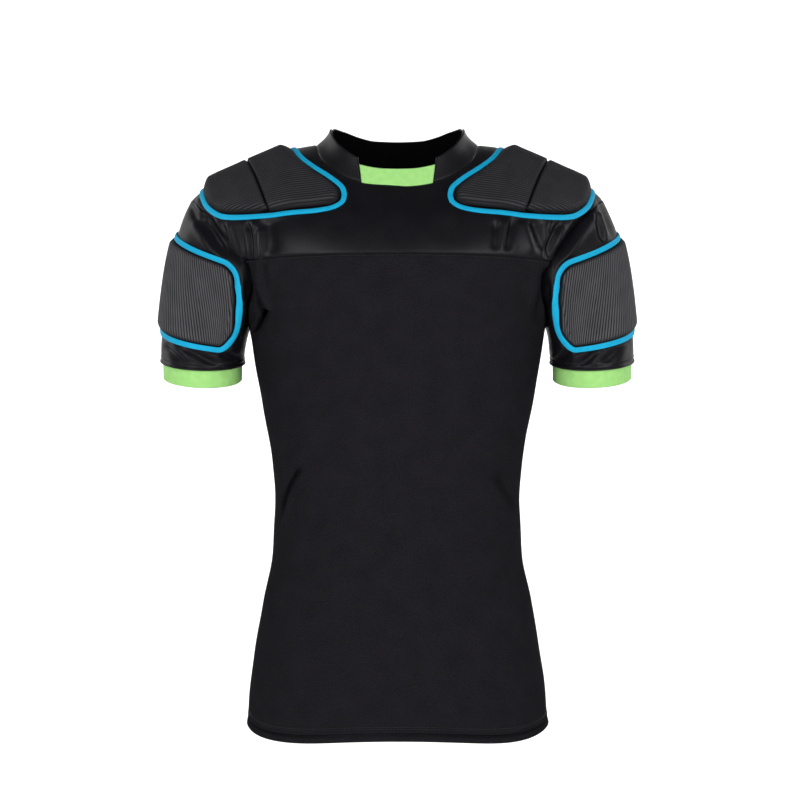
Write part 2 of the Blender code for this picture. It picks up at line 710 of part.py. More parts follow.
# Shoulder pads: two foam blocks each side with a tape round them
half = np.stack([-SHOULDER_PAD["reach"], SHOULDER_PAD["inner"]], -1)
other = np.stack([-SHOULDER_PAD["reach"], SHOULDER_PAD["outer"]], -1)
front_half = np.concatenate([half, other[::-1]])
back_half = (front_half * (-1, 1))[::-1]
SHOULDER_LINE = closed_curve(np.concatenate([front_half, back_half[1:-1]]), 4 * TAPE_STEPS)
SHOULDER_EDGE = inset(shoulder_chart, SHOULDER_LINE, TAPE_WIDE / 2 + PAD_GAP)
FIRST_RIB = float(SHOULDER_EDGE[:, 0].min()) + 0.0008
LAST_RIB = float(SHOULDER_EDGE[:, 0].max()) - 0.0008


def groove(reach):
    """Where the gap between the two blocks runs."""
    return GROOVE_TOP - GROOVE_LEAN * (math.hypot(reach, GROOVE_ROUND) - GROOVE_ROUND)


for word, hand in (("left", 1), ("right", -1)):
    tape("shoulder_tape_" + word, shoulder_chart, SHOULDER_LINE[::4], SEAT, hand)
    pad("shoulder_pad_inner_" + word, shoulder_chart,
        lambda at: (span(SHOULDER_EDGE, at)[0], min(groove(at) - SEAM / 2, span(SHOULDER_EDGE, at)[1])),
        (FIRST_RIB, LAST_RIB), 14, SEAT, SHOULDER_THICK,
        (SHOULDER_BEVEL, GROOVE_BEVEL, SHOULDER_BEVEL), hand)
    pad("shoulder_pad_outer_" + word, shoulder_chart,
        lambda at: (groove(at) + SEAM / 2, span(SHOULDER_EDGE, at)[1]),
        (-OUTER_REACH, OUTER_REACH), 14, SEAT, SHOULDER_THICK,
        (GROOVE_BEVEL, SHOULDER_BEVEL, SHOULDER_BEVEL), hand)

# Bicep pads: one foam block each side with a tape round it
BICEP_LINE = evenly(rounded_box(BICEP_WIDE, BICEP_TALL, BICEP_CORNERS, 16), 4 * TAPE_STEPS)
BICEP_EDGE = inset(bicep_chart, BICEP_LINE, TAPE_WIDE / 2 + PAD_GAP)
BICEP_REACH = (float(BICEP_EDGE[:, 0].min()) + 0.0008, float(BICEP_EDGE[:, 0].max()) - 0.0008)
for word, hand in (("left", 1), ("right", -1)):
    tape("bicep_tape_" + word, bicep_chart, BICEP_LINE[::4], BICEP_SEAT, hand)
    pad("bicep_pad_" + word, bicep_chart, lambda at: span(BICEP_EDGE, at), BICEP_REACH, 18,
        BICEP_SEAT, BICEP_THICK, (BICEP_BEVEL, BICEP_BEVEL, BICEP_BEVEL), hand)
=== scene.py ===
"""Looks of the padded body-armour top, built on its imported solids.

Metres, in the frame of the solids: +Z up, +X to the wearer's left, the front faces -Y.
"""

import math

import bmesh
import bpy
import numpy as np
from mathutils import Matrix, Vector


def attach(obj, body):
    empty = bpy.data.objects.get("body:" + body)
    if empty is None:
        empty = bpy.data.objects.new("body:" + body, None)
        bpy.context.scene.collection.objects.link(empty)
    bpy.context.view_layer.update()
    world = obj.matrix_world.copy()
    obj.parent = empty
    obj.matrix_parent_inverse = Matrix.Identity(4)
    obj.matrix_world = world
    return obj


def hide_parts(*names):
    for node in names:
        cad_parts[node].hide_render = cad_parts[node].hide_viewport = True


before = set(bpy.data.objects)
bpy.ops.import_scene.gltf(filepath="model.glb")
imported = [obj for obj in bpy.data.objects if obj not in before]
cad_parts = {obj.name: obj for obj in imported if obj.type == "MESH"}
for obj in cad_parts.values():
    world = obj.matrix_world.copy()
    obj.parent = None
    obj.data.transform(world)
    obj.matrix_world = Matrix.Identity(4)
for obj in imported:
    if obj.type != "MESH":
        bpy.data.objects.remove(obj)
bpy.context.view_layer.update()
MILLIMETRE = 0.001


def table(columns, *rows):
    """A short table as one array for each named column."""
    return dict(zip(columns, np.array(rows, float).T))


def creases(*rows):
    """Creases from rows in millimetres that end in a plain share."""
    return np.array(rows, float) * ([MILLIMETRE] * 8 + [1])


# Cloth and seams
SEAM = 0.0003
CLOTH = 0.0015
COLLAR_CLOTH = 0.0025
CUFF_CLOTH = 0.0020
SEAT = 0.0009

# Body: level sections from the hem to above the shoulders
BODY = table(
    ("height", "half_width", "front", "back"),
    (-0.684, 0.1770, 0.1180, 0.1180),
    (-0.650, 0.1745, 0.1170, 0.1185),
    (-0.600, 0.1685, 0.1150, 0.1180),
    (-0.536, 0.1580, 0.1110, 0.1130),
    (-0.483, 0.1475, 0.1060, 0.1030),
    (-0.425, 0.1437, 0.1040, 0.0950),
    (-0.376, 0.1465, 0.1060, 0.0945),
    (-0.300, 0.1600, 0.1140, 0.1030),
    (-0.211, 0.1755, 0.1240, 0.1130),
    (-0.182, 0.1845, 0.1265, 0.1170),
    (-0.140, 0.2030, 0.1260, 0.1200),
    (-0.096, 0.2330, 0.1175, 0.1170),
    (-0.064, 0.2580, 0.1050, 0.1100),
    (0.000, 0.3000, 0.0850, 0.0950),
    (0.040, 0.3200, 0.0700, 0.0800),
)
SQUARENESS = 2.4
UNDERARM = -0.211
HEM_SIDE = -0.677
HEM_MIDDLE = -0.6815
HEM_DIP = 0.0066
HEM_DIP_FADE = 4
CHEST_SEAM_SIDE = -0.143
CHEST_SEAM_MIDDLE = -0.136

# Shoulders: the top line of the yoke, and the height where it starts to close
CREST = table(
    ("across", "height"),
    (0.0000, 0.0280),
    (0.0120, 0.0275),
    (0.0300, 0.0220),
    (0.0915, 0.0015),
    (0.1210, -0.0035),
    (0.1500, -0.0150),
    (0.1900, -0.0325),
    (0.2200, -0.0465),
    (0.2420, -0.0640),
    (0.2600, -0.0850),
)
KNEE = -0.160
SHOULDER_POINT = 0.242
ARMHOLE_BOW = 2.1
ARMHOLE_LOWER = table(
    ("height", "half_width"),
    (-0.211, 0.1755),
    (-0.182, 0.1730),
    (-0.160, 0.1740),
    (-0.140, 0.1805),
)

# Neck seam and collar
NECK_HALF = 0.0950
NECK_DROP_FRONT = 0.0570
NECK_DROP_BACK = 0.0180
NECK_SQUARENESS = 2.1
NECK_SHARE = 0.5
RIM_WIDTH = 0.826
RIM_DEPTH = 0.900
COLLAR_END_BASE = 24.5
COLLAR_END_RIM = 34.1
TAB_END = 24.0
COLLAR_HOLLOW = 0.003
COLLAR_TUCK = 0.0014
RIM = table(
    ("turn", "height"),
    (0, -0.0300),
    (10, -0.0296),
    (33, -0.0230),
    (53, -0.0094),
    (74, 0.0065),
    (90, 0.0170),
    (108, 0.0235),
    (127, 0.0214),
    (145, 0.0164),
    (160, 0.0132),
    (180, 0.0127),
)
TAB_TOP_MIDDLE = 0.77
TAB_TOP_END = 0.735

# Sleeve: its end ring and how the armhole leads into it
SLEEVE_AXIS = 0.222
SLEEVE_END = 0.2298
SLEEVE_END_DEEP = 0.002
SLEEVE_HALF_WIDTH = 0.0492
SLEEVE_HALF_DEPTH = 0.0520
SLEEVE_END_HEIGHT = -0.255
SLEEVE_END_SLOPE = 0.011
SLEEVE_END_LEAN = 0.002
SLEEVE_FLARE = 0.25
SLEEVE_FLARE_OUT = 0.28
SLEEVE_WAIST = 0.002
WAIST_AT = 0.6

# Cuff: an elastic band sewn inside the sleeve end
CUFF_TUCK = 0.006
CUFF_DROP = 0.020
CUFF_TOP_NARROW = 0.0027
CUFF_STEP = 0.003
CUFF_STEP_NARROW = 0.00276
CUFF_NARROW = 0.0030

# Shoulder pad outline: reach over the shoulder from its top line, and the two edges there
SHOULDER_PAD = table(
    ("reach", "inner", "outer"),
    (0.0000, 0.1233, 0.2285),
    (0.0310, 0.1165, 0.2280),
    (0.0490, 0.1085, 0.2260),
    (0.0676, 0.0940, 0.2225),
    (0.0846, 0.0785, 0.2170),
    (0.1020, 0.0645, 0.2070),
    (0.1120, 0.0604, 0.1965),
    (0.1200, 0.0603, 0.1800),
    (0.1265, 0.0640, 0.1580),
    (0.1310, 0.0800, 0.1300),
)
REACH_SECTION = 0.120
GROOVE_TOP = 0.1740
GROOVE_LEAN = 0.280
GROOVE_ROUND = 0.020
OUTER_REACH = 0.122
SHOULDER_THICK = 0.0095
SHOULDER_BEVEL = 0.0090
GROOVE_BEVEL = 0.0026
GROOVE_FLOOR = 0.50

# Bicep pad: its corners on the sleeve, round the arm and up from the sleeve end
BICEP_PAD = table(
    ("turn_low", "turn_high", "low", "high"),
    (-132, -119, 0.022, 0.1235),
    (60, 60, 0.046, 0.1420),
)
BICEP_BOW = 0.015
BICEP_SECTION = 0.55
BICEP_TALL = 0.104
BICEP_CORNERS = (0.022, 0.034, 0.012, 0.022)
BICEP_THICK = 0.0050
BICEP_BEVEL = 0.0055

# Ribs of the pad covers and the tape round the pads
RIB_PITCH = 0.0032
RIB_DEEP = 0.0006
RIB_SPOTS = np.array([0.0, 0.10, 0.30, 0.50, 0.70, 0.90])
PAD_EDGE = 0.0020
TAPE_WIDE = 0.0060
TAPE_THICK = 0.0010
TAPE_DOME = 0.0003
TAPE_UNDER = 0.0002
PAD_GAP = 0.0010
BICEP_SEAT = 0.0018
RIB_END = 0.0008
RIB_ROUND = 0.7
RIB_FADE = 2
BEVEL_TURN = 0.9
BEVEL_ROUND = 1.35
TAPE_SIDE = 0.6
TAPE_TURN = 0.42
TAPE_FLAT = 0.2
TAPE_CLEAR = 0.0032
TAPE_FADE = 0.0038

# Creases seen from the front, in millimetres: across and height of three points on a bent line,
# how wide and deep the trough is, and the share of its depth by which a ridge stands up beside it
FRONT_CREASES = creases(
    (-228, -82, -214, -109, -192, -140, 5.2, 7, -0.4),
    (-218, -86, -202, -114, -184, -147, 3, 4.6, 0.5),
    (-200, -96, -192, -120, -180, -150, 2.6, 3.4, 0.6),
    (-243, -66, -234, -88, -221, -110, 4.5, 3.6, 0.5),
    (-172, -98, -165.5, -120, -165, -172, 3.6, 5.6, 0.45),
    (-160, -104, -158.5, -120, -156, -146, 2.8, 3.4, 0.6),
    (-147, -92, -144, -115, -139, -142, 10, 3.4, -0.7),
    (-173, -136, -171, -164, -164, -196, 5, 9, 0.25),
    (-166.5, -160, -157.5, -189.7, -149.5, -208.5, 3, 12.5, 0.25),
    (-148, -196.5, -156, -211, -169, -233, 3.2, 12.5, -0.25),
    (-151, -139, -151, -157, -147, -176, 4, 2.4, 0.5),
    (-139, -160, -145, -192, -150, -226, 10, 3, -0.5),
    (-272, -234, -257, -249, -237, -264, 4.6, 4.2, 0.6),
    (-250, -234, -227, -249, -200, -265, 5, 5, 0.6),
    (-216, -237, -199, -248, -181, -254, 4.2, 3.4, 0.6),
    (226, -73, 201, -108, 171, -147, 4.6, 8, 0.45),
    (186, -94, 176, -118, 170, -146, 4, 5.6, 0.5),
    (229, -80, 234, -100, 239, -121, 3, 3.4, 0.6),
    (237, -62, 245, -90, 254, -112, 5, 3.4, -0.5),
    (111, -96, 113, -118, 109, -134, 5.6, 3.6, 0.5),
    (131, -92, 126, -116, 122, -136, 4.4, 5.2, -0.5),
    (153, -90, 160, -114, 168, -136, 6.8, 5.4, -0.5),
    (178, -92, 175, -103, 171, -113, 2.6, 2.6, 0.6),
    (169, -145, 167, -182, 156, -216, 5.6, 10.4, -0.25),
    (142, -158, 148, -190, 153, -228, 10, 2.6, 0.5),
    (237, -234, 220, -252, 203, -271, 5, 5, -0.6),
    (274, -224, 253, -243, 231, -263, 4.6, 4.2, -0.6),
    (201, -238, 190, -252, 179, -260, 4.2, 3.4, -0.6),
    (-110, -376, -126, -409, -142, -448, 10, 3, 0.4),
    (-106, -374, -125.5, -405, -138.5, -450, 2.8, 10.5, 0.3),
    (-142, -350, -134, -367, -122, -388, 7, 2.8, -0.5),
    (-145, -520, -137, -504, -123, -487, 7.6, 3.2, 0.5),
    (131, -344, 136, -364, 141, -388, 7, 2.8, 0.5),
    (112, -383, 127, -407, 141, -437, 10, 3, -0.4),
    (112, -385, 126.5, -411, 142, -438, 3.6, 7.6, -0.3),
    (124, -481, 134, -495, 144, -516, 7.6, 3.2, -0.5),
    (-56, -396, -80, -425, -110, -442, 18, 2, 0.4),
    (62, -563, 100, -530, 134, -510, 20, 2, -0.4),
)
BACK_CREASES = creases(
    (-176, -96, -172, -118, -164, -142, 4.8, 4, 0.6),
    (-222, -86, -204, -114, -184, -145, 5.5, 5.2, 0.5),
    (-150, -96, -152, -116, -150, -138, 6, 2.2, -0.6),
    (-155, -148, -160, -180, -162, -224, 8, 4, 0.5),
    (178, -94, 173, -116, 166, -140, 4.8, 4, -0.6),
    (224, -88, 205, -112, 182, -142, 5.5, 5, -0.5),
    (141, -96, 144, -118, 143, -140, 5.6, 2.2, 0.6),
    (153, -146, 159, -182, 162, -226, 8, 4.2, -0.5),
    (-252, -234, -231, -244, -206, -250, 5, 3, 0.7),
    (250, -232, 228, -243, 204, -249, 5, 3, -0.7),
    (-122, -370, -60, -392, 14, -388, 7, 6.4, 0.5),
    (124, -386, 66, -410, -10, -412, 7, 6.4, -0.5),
    (108, -372, 125, -401, 139, -446, 3, 10, -0.3),
    (-110, -386, -126, -413, -141, -442, 3.4, 8.4, 0.3),
    (166, -156, 158, -188, 150.5, -210, 3.2, 11.5, -0.25),
    (-164, -160, -157, -190, -151, -210, 3.4, 10.5, 0.25),
    (-134, -418, -92, -440, -34, -440, 10.5, 3, 0.5),
    (136, -440, 98, -458, 46, -452, 10.5, 2.8, -0.5),
    (-130, -502, -100, -486, -58, -482, 12, 2.2, 0.5),
)
CREASE_STEPS = 13
CREASE_REACH = 4.0
CREASE_STARTS = 0.18
CREASE_ENDS = 0.3
RIDGE_AWAY = 1.9
RIDGE_WIDE = 1.25
FACING = 0.35

# Creases of the body are pushed straighter in away from its side seams, and a sleeve's end has none
CREASE_TURN = 0.8
SEAM_CLEAR = 0.012
END_CLEAR = 0.014

# Valley that the cloth sinks into along the armhole, by height
VALLEY = table(
    ("height", "deep"),
    (-0.215, 0.0000),
    (-0.200, 0.0014),
    (-0.182, 0.0040),
    (-0.160, 0.0056),
    (-0.140, 0.0052),
    (-0.125, 0.0046),
    (-0.100, 0.0034),
    (-0.072, 0.0000),
)
VALLEY_WIDE = 0.0055

# Slow waves that keep the cloth from being perfectly even
WAVES = table(
    ("x", "y", "z", "phase"),
    (62, 20, 34, 0.4),
    (-41, 35, 71, 1.9),
    (88, -27, -52, 3.1),
    (-23, 61, 97, 4.6),
)
WAVE_DEEP = 0.00022
COLLAR_WAVES = 0.6

# How cloth sinks and puckers along a seam
SEAM_DIP = 0.0006
SEAM_WIDE = 0.0018
PUCKER_DEEP = 0.00035
PUCKER_WIDE = 0.0055
PUCKER_PITCH = 0.0085
PUCKER_WANDER = 2.2
PUCKER_WANDER_RATE = 37

# Folded hem: its height, its second layer, and the uneven roll above its edge
HEM_TALL = 0.0140
SLEEVE_HEM = 0.0080
HEM_LAYER = 0.0005
HEM_LAYER_EDGE = 0.001
HEM_ROLL = 0.0078
HEM_FLARE = 0.0009
ROLL_DEEP = 0.80
ROLL_WIDE = 0.15
ROLL_EVEN = 0.75
ROLL_RATES = (19, 7.3)
ROLL_PHASE = 0.8
HEM_STITCH_DIP = 0.0006
HEM_STITCH_WIDE = 0.0010

# Thread: one stitch by shares of its length and thickness, and how far in from a seam it runs
STITCH_LONG = 0.0024
STITCH_GAP = 0.0009
STITCH_THICK = 0.00032
STITCH_SIDES = 5
STITCH_FORM = table(
    ("at", "width", "lift"),
    (0.0, 0.25, -0.3),
    (0.12, 0.8, 0.25),
    (0.5, 1.0, 0.45),
    (0.88, 0.8, 0.25),
    (1.0, 0.25, -0.3),
)
STITCH_FIRST = 0.2
STITCH_IN = 0.0022
SIDE_STITCH_IN = 0.0024

# How finely each piece is divided
BODY_COLUMNS = 190
NECK_FROM = 0.27
NECK_TO = 0.73
NECK_COLUMNS = slice(int(BODY_COLUMNS * NECK_FROM), int(BODY_COLUMNS * NECK_TO) + 1)
CLOSER = 1.6
CLOSER_AT = 0.84
CLOSER_WIDE = 0.16
LOW_ROWS = 140
HEM_ROWS = 26
HEM_SHARE = 0.052
ROWS_CLOSER = 1.35
ARM_ROWS = 34
YOKE_ROWS = 74
SLEEVE_COLUMNS = 210
SLEEVE_ROWS = 90
COLLAR_COLUMNS = 200
COLLAR_ROWS = 14
TAB_COLUMNS = 60
TAB_ROWS = 16
CUFF_ROWS = 18
TAPE_STEPS = 270
BEVEL_STEPS = 9
PAD_COLUMNS = 18
BEVEL_SHARE = 0.32
BEVEL_CLOSER = 1.4
UNDER_STEPS = (18, 5)
CORNER_STEPS = 16
RING_BLEND = 0.2

# Steps for measuring along the forms
TINY = 1e-12
SMALL_STEP = 1e-4
LEAN_MOST = 0.999
SHARE_STEPS = 2001
EDGE_STEPS = (60, 120)
CURVE_STEPS = 12
REACH_STEPS = 400
REACH_LOWEST = 5
ARM_RANGE = (-150, 90)
DOWN_STEPS = 41
NECK_STEPS = 61
NEAR_PART = 1000


def smooth(rows, column, at):
    """A table's column by its first one, on a curve that keeps to its rises and falls."""
    at = np.asarray(at, float)
    known, values = next(iter(rows.values())), rows[column]
    steps = np.diff(known)
    slopes = np.diff(values) / steps
    tangents = np.concatenate([[slopes[0]], np.zeros(len(slopes) - 1), [slopes[-1]]])
    for i in range(1, len(slopes)):
        if slopes[i - 1] * slopes[i] > 0:
            first = 2 * steps[i] + steps[i - 1]
            second = steps[i] + 2 * steps[i - 1]
            tangents[i] = (first + second) / (first / slopes[i - 1] + second / slopes[i])
    i = np.clip(np.searchsorted(known, at) - 1, 0, len(steps) - 1)
    t = np.clip((at - known[i]) / steps[i], 0, 1)
    rise = t * t * (3 - 2 * t)
    lead = t * (1 - t) ** 2 * steps[i] * tangents[i]
    trail = t * t * (1 - t) * steps[i] * tangents[i + 1]
    return values[i] + rise * (values[i + 1] - values[i]) + lead - trail


def unit(vectors):
    """Each vector at length one."""
    return vectors / np.maximum(np.linalg.norm(vectors, axis=-1, keepdims=True), TINY)


def lengths(points):
    """Distance of each point along its line, for one line or for many."""
    steps = np.linalg.norm(np.diff(points, axis=-2), axis=-1)
    return np.concatenate([np.zeros_like(steps[..., :1]), np.cumsum(steps, -1)], -1)


def between(at, known, points):
    """Points of a line where a value that grows along it is met."""
    return np.stack([np.interp(at, known, column) for column in points.T], -1)


def looped(line):
    """A closed line with its first point again at its end."""
    return np.concatenate([line, line[:1]])


def bell(value):
    """A soft bump that is 1 in its middle."""
    return np.exp(-value ** 2)


def power(value, exponent):
    """A power that keeps the value's sign."""
    return np.sign(value) * np.abs(value) ** exponent


def ease(value):
    """A soft step from 0 to 1."""
    t = np.clip(value, 0, 1)
    return t * t * (3 - 2 * t)


def half_width(height):
    """Half the body's width at a height."""
    return smooth(BODY, "half_width", height)


def crest(across):
    """Height of the shoulder line at a distance from the middle."""
    return smooth(CREST, "height", np.abs(across))


def depth(side, across, height, closing):
    """How far the front (side -1) or back (side 1) stands from the side seams."""
    reach = smooth(BODY, "front" if side < 0 else "back", height)
    share = np.clip(1 - np.abs(across / half_width(height)) ** SQUARENESS, 0, 1)
    return side * (SEAM / 2 + reach * share ** (1 / SQUARENESS) * closing)


def on_body(side, across, height):
    """Points of the front or back at a distance across and a height."""
    lean = np.clip((height - KNEE) / (crest(across) - KNEE), 0, 1)
    return np.stack([across, depth(side, across, height, np.sqrt(1 - lean ** 2)), height], -1)


def on_shoulder(side, across, turn):
    """Points of the front or back by the turn up to the shoulder line, in radians."""
    height = KNEE + (crest(across) - KNEE) * np.sin(turn)
    return np.stack([across, depth(side, across, height, np.cos(turn)), height], -1)


def turn_of(across, height):
    """The turn at which a height is met."""
    return np.arcsin(np.clip((height - KNEE) / (crest(across) - KNEE), -1, 1))


def level(share, side_height, middle_height):
    """Height of a row that runs lower or higher in the middle than at its ends."""
    return side_height + (middle_height - side_height) * (1 - share ** 2)


def across_at(share, height):
    """Distance across for a share of the panel's width at a height."""
    edge = smooth(ARMHOLE_LOWER, "half_width", height)
    limit = np.where(height <= UNDERARM, 1, edge / half_width(height))
    turn = share * np.arcsin(np.clip(limit, 0, 1) ** (SQUARENESS / 2))
    return half_width(height) * power(np.sin(turn), 2 / SQUARENESS)


def arm_heights(steps):
    """Heights from under the arm to the chest seam, closer together under the arm."""
    return UNDERARM + (CHEST_SEAM_SIDE - UNDERARM) * np.linspace(0, 1, steps + 1) ** 2


def body_normals(points):
    """Normals of the body's form, from how its sections grow."""
    def outside(at):
        """1 on the form and more outside it."""
        across, away, height = at[..., 0], np.abs(at[..., 1]), at[..., 2]
        lean = np.clip((height - KNEE) / (crest(across) - KNEE), 0, LEAN_MOST)
        front = smooth(BODY, "front", height)
        back = smooth(BODY, "back", height)
        reach = np.where(points[..., 1] < 0, front, back) * np.sqrt(1 - lean ** 2)
        return np.abs(across / half_width(height)) ** SQUARENESS + (away / reach) ** SQUARENESS

    return unit(np.stack([outside(points + move) - outside(points - move)
                          for move in SMALL_STEP * np.eye(3)], -1))


def body_shares():
    """Shares of a panel's width for its columns, closer together beside the armholes."""
    fine = np.linspace(-1, 1, SHARE_STEPS)
    close = 1 + CLOSER * bell((np.abs(fine) - CLOSER_AT) / CLOSER_WIDE)
    count = np.concatenate([[0], np.cumsum((close[1:] + close[:-1]) / 2)])
    return np.interp(np.linspace(0, count[-1], BODY_COLUMNS + 1), count, fine)


def body_rows(side):
    """Outer points of the lower front or back, from the hem to the chest seam."""
    share = body_shares()
    low = np.concatenate([np.linspace(0, HEM_SHARE, HEM_ROWS, endpoint=False),
                          1 - (1 - HEM_SHARE) * np.linspace(1, 0, LOW_ROWS + 1) ** ROWS_CLOSER])
    sides = np.concatenate([HEM_SIDE + (UNDERARM - HEM_SIDE) * low, arm_heights(ARM_ROWS)[1:]])
    rise = (sides - HEM_SIDE) / (CHEST_SEAM_SIDE - HEM_SIDE)
    middle = HEM_MIDDLE + (CHEST_SEAM_MIDDLE - HEM_MIDDLE) * rise
    dip = HEM_DIP * np.sin(math.pi * share) ** 2 if side < 0 else np.zeros_like(share)
    fade = ((1 - rise) ** HEM_DIP_FADE)[:, None]
    height = level(share[None], sides[:, None], middle[:, None]) - dip[None] * fade
    return on_body(side, across_at(share[None], height), height)


def yoke_at(side, share, rise):
    """Points of the upper front or back, from the chest seam (0) to the neck and shoulder (1)."""
    low = level(share, CHEST_SEAM_SIDE, CHEST_SEAM_MIDDLE)
    low_across = across_at(share, low)
    neck_turn = np.clip(share / NECK_SHARE, -1, 1) * math.pi / 2
    neck_across = NECK_HALF * power(np.sin(neck_turn), 2 / NECK_SQUARENESS)
    drop = NECK_DROP_FRONT if side < 0 else NECK_DROP_BACK
    neck_height = crest(NECK_HALF) - drop * np.abs(np.cos(neck_turn)) ** (2 / NECK_SQUARENESS)
    out = np.clip((np.abs(share) - NECK_SHARE) / (1 - NECK_SHARE), 0, 1)
    shoulder_across = np.sign(share) * (NECK_HALF + (SHOULDER_POINT - NECK_HALF) * out)
    high_across = np.where(out > 0, shoulder_across, neck_across)
    high_turn = np.where(out > 0, math.pi / 2, turn_of(neck_across, neck_height))
    across = low_across + (high_across - low_across) * (1 - (1 - rise) ** ARMHOLE_BOW)
    low_turn = turn_of(low_across, low + SEAM)
    return on_shoulder(side, across, low_turn + (high_turn - low_turn) * rise)


def arm_turn(points):
    """Angle of points round the arm: 0 on its outside, negative at the front."""
    return np.arctan2(points[:, 1], points[:, 0] - SLEEVE_AXIS)


def armhole(low_steps, high_steps):
    """Left armhole edge, from under the arm up the front and down the back."""
    heights = arm_heights(low_steps)
    across = across_at(np.ones_like(heights), heights)
    rise = np.linspace(0, 1, high_steps + 1)[1:]
    front, back = [np.concatenate([on_body(side, across, heights), yoke_at(side, np.ones_like(rise), rise)])
                   for side in (-1, 1)]
    return np.concatenate([front, back[::-1]])


ARMHOLE_EDGE = armhole(*EDGE_STEPS)
ARMHOLE_TURN = np.unwrap(arm_turn(ARMHOLE_EDGE))


def sleeve_at(turn, share):
    """Points of the left sleeve: the angle round the arm, and 0 at the armhole to 1 at its end."""
    start = between(turn, ARMHOLE_TURN, ARMHOLE_EDGE) + (SEAM, 0, 0)
    round_arm = np.stack([np.cos(turn), np.sin(turn), np.zeros_like(turn)], -1)
    end = round_arm * (SLEEVE_HALF_WIDTH, SLEEVE_HALF_DEPTH, 0) + (SLEEVE_END, SLEEVE_END_DEEP, 0)
    end[..., 2] = SLEEVE_END_HEIGHT + SLEEVE_END_SLOPE * np.sin(turn) + SLEEVE_END_LEAN * np.cos(turn)
    length = np.linalg.norm(end - start, axis=-1, keepdims=True)
    flare = SLEEVE_FLARE + SLEEVE_FLARE_OUT * np.cos(turn)
    lead = length * unit(round_arm * flare[..., None] - (0, 0, 1))
    trail = length * np.array([0, 0, -1])
    t = share[..., None]
    rise = t * t * (3 - 2 * t)
    waist = SLEEVE_WAIST * (t / WAIST_AT) ** 3 * ((1 - t) / (1 - WAIST_AT)) ** 2
    sunken = waist * np.maximum(np.cos(turn), 0)[..., None] * round_arm
    return start + rise * (end - start) + t * (1 - t) ** 2 * lead - t * t * (1 - t) * trail - sunken


def closed_curve(points, steps):
    """A smooth closed line through points, evenly stepped."""
    share = np.linspace(0, 1, CURVE_STEPS, endpoint=False)[:, None]
    before, after, later = np.roll(points, 1, 0), np.roll(points, -1, 0), np.roll(points, -2, 0)
    fine = []
    for p0, p1, p2, p3 in zip(before, points, after, later):
        fine.append(0.5 * (2 * p1 + (p2 - p0) * share + (2 * p0 - 5 * p1 + 4 * p2 - p3) * share ** 2
                           + (3 * p1 - p0 - 3 * p2 + p3) * share ** 3))
    return evenly(np.concatenate(fine), steps)


def evenly(points, steps):
    """Evenly stepped points along a closed line."""
    loop = looped(points)
    along = lengths(loop)
    return between(np.linspace(0, along[-1], steps, endpoint=False), along, loop)


def chart_slopes(chart, first, second):
    """How the points of a chart move with each of its two values."""
    one = chart(first + SMALL_STEP, second) - chart(first - SMALL_STEP, second)
    two = chart(first, second + SMALL_STEP) - chart(first, second - SMALL_STEP)
    return one / (2 * SMALL_STEP), two / (2 * SMALL_STEP)


def inset(chart, line, distance):
    """A closed line on a chart, moved in by a distance along the surface."""
    one, two = chart_slopes(chart, *line.T)
    run = np.roll(line, -1, 0) - np.roll(line, 1, 0)
    ahead = run[:, :1] * one + run[:, 1:] * two
    inward = np.stack([-np.sum(ahead * two, -1), np.sum(ahead * one, -1)], -1)
    inward /= np.linalg.norm(inward[:, :1] * one + inward[:, 1:] * two, axis=-1)[:, None]
    if np.sum(inward * (line.mean(0) - line)) < 0:
        inward = -inward
    return line + inward * distance


def span(line, at):
    """Where a row across the ribs enters and leaves a closed line."""
    following = np.roll(line, -1, 0)
    hits = []
    for (a0, b0), (a1, b1) in zip(line, following):
        if (a0 - at) * (a1 - at) <= 0 and a0 != a1:
            hits.append(b0 + (b1 - b0) * (at - a0) / (a1 - a0))
    return min(hits), max(hits)


def lifted(chart, first, second, height):
    """Points at a height above the surface that a chart gives, and the normals there."""
    one, two = chart_slopes(chart, first, second)
    normals = unit(np.cross(two, one))
    return chart(first, second) + normals * np.asarray(height)[..., None], normals


def reach_table(side):
    """Turns from the shoulder line down, and the reach at each."""
    turns = np.radians(np.linspace(90, REACH_LOWEST, REACH_STEPS))
    return turns, lengths(on_shoulder(side, np.full(REACH_STEPS, REACH_SECTION), turns))


FRONT_REACH = reach_table(-1)
BACK_REACH = reach_table(1)


def shoulder_chart(reach, across):
    """Yoke points by reach over the shoulder (front negative) and distance across."""
    reach, across = np.broadcast_arrays(reach, across)
    front = on_shoulder(-1, across, np.interp(-reach, FRONT_REACH[1], FRONT_REACH[0]))
    back = on_shoulder(1, across, np.interp(reach, BACK_REACH[1], BACK_REACH[0]))
    return np.where((reach < 0)[..., None], front, back)


# Distance round the arm for each turn, on one section of the sleeve
ARM_TURNS = np.radians(np.linspace(*ARM_RANGE, REACH_STEPS))
ARM_REACH = lengths(sleeve_at(ARM_TURNS, np.full(REACH_STEPS, BICEP_SECTION)))
ARM_EDGES = np.radians([(BICEP_PAD["turn_low"][0] + BICEP_PAD["turn_high"][0]) / 2,
                        BICEP_PAD["turn_low"][1]])
BICEP_WIDE = float(np.diff(np.interp(ARM_EDGES, ARM_TURNS, ARM_REACH))[0])


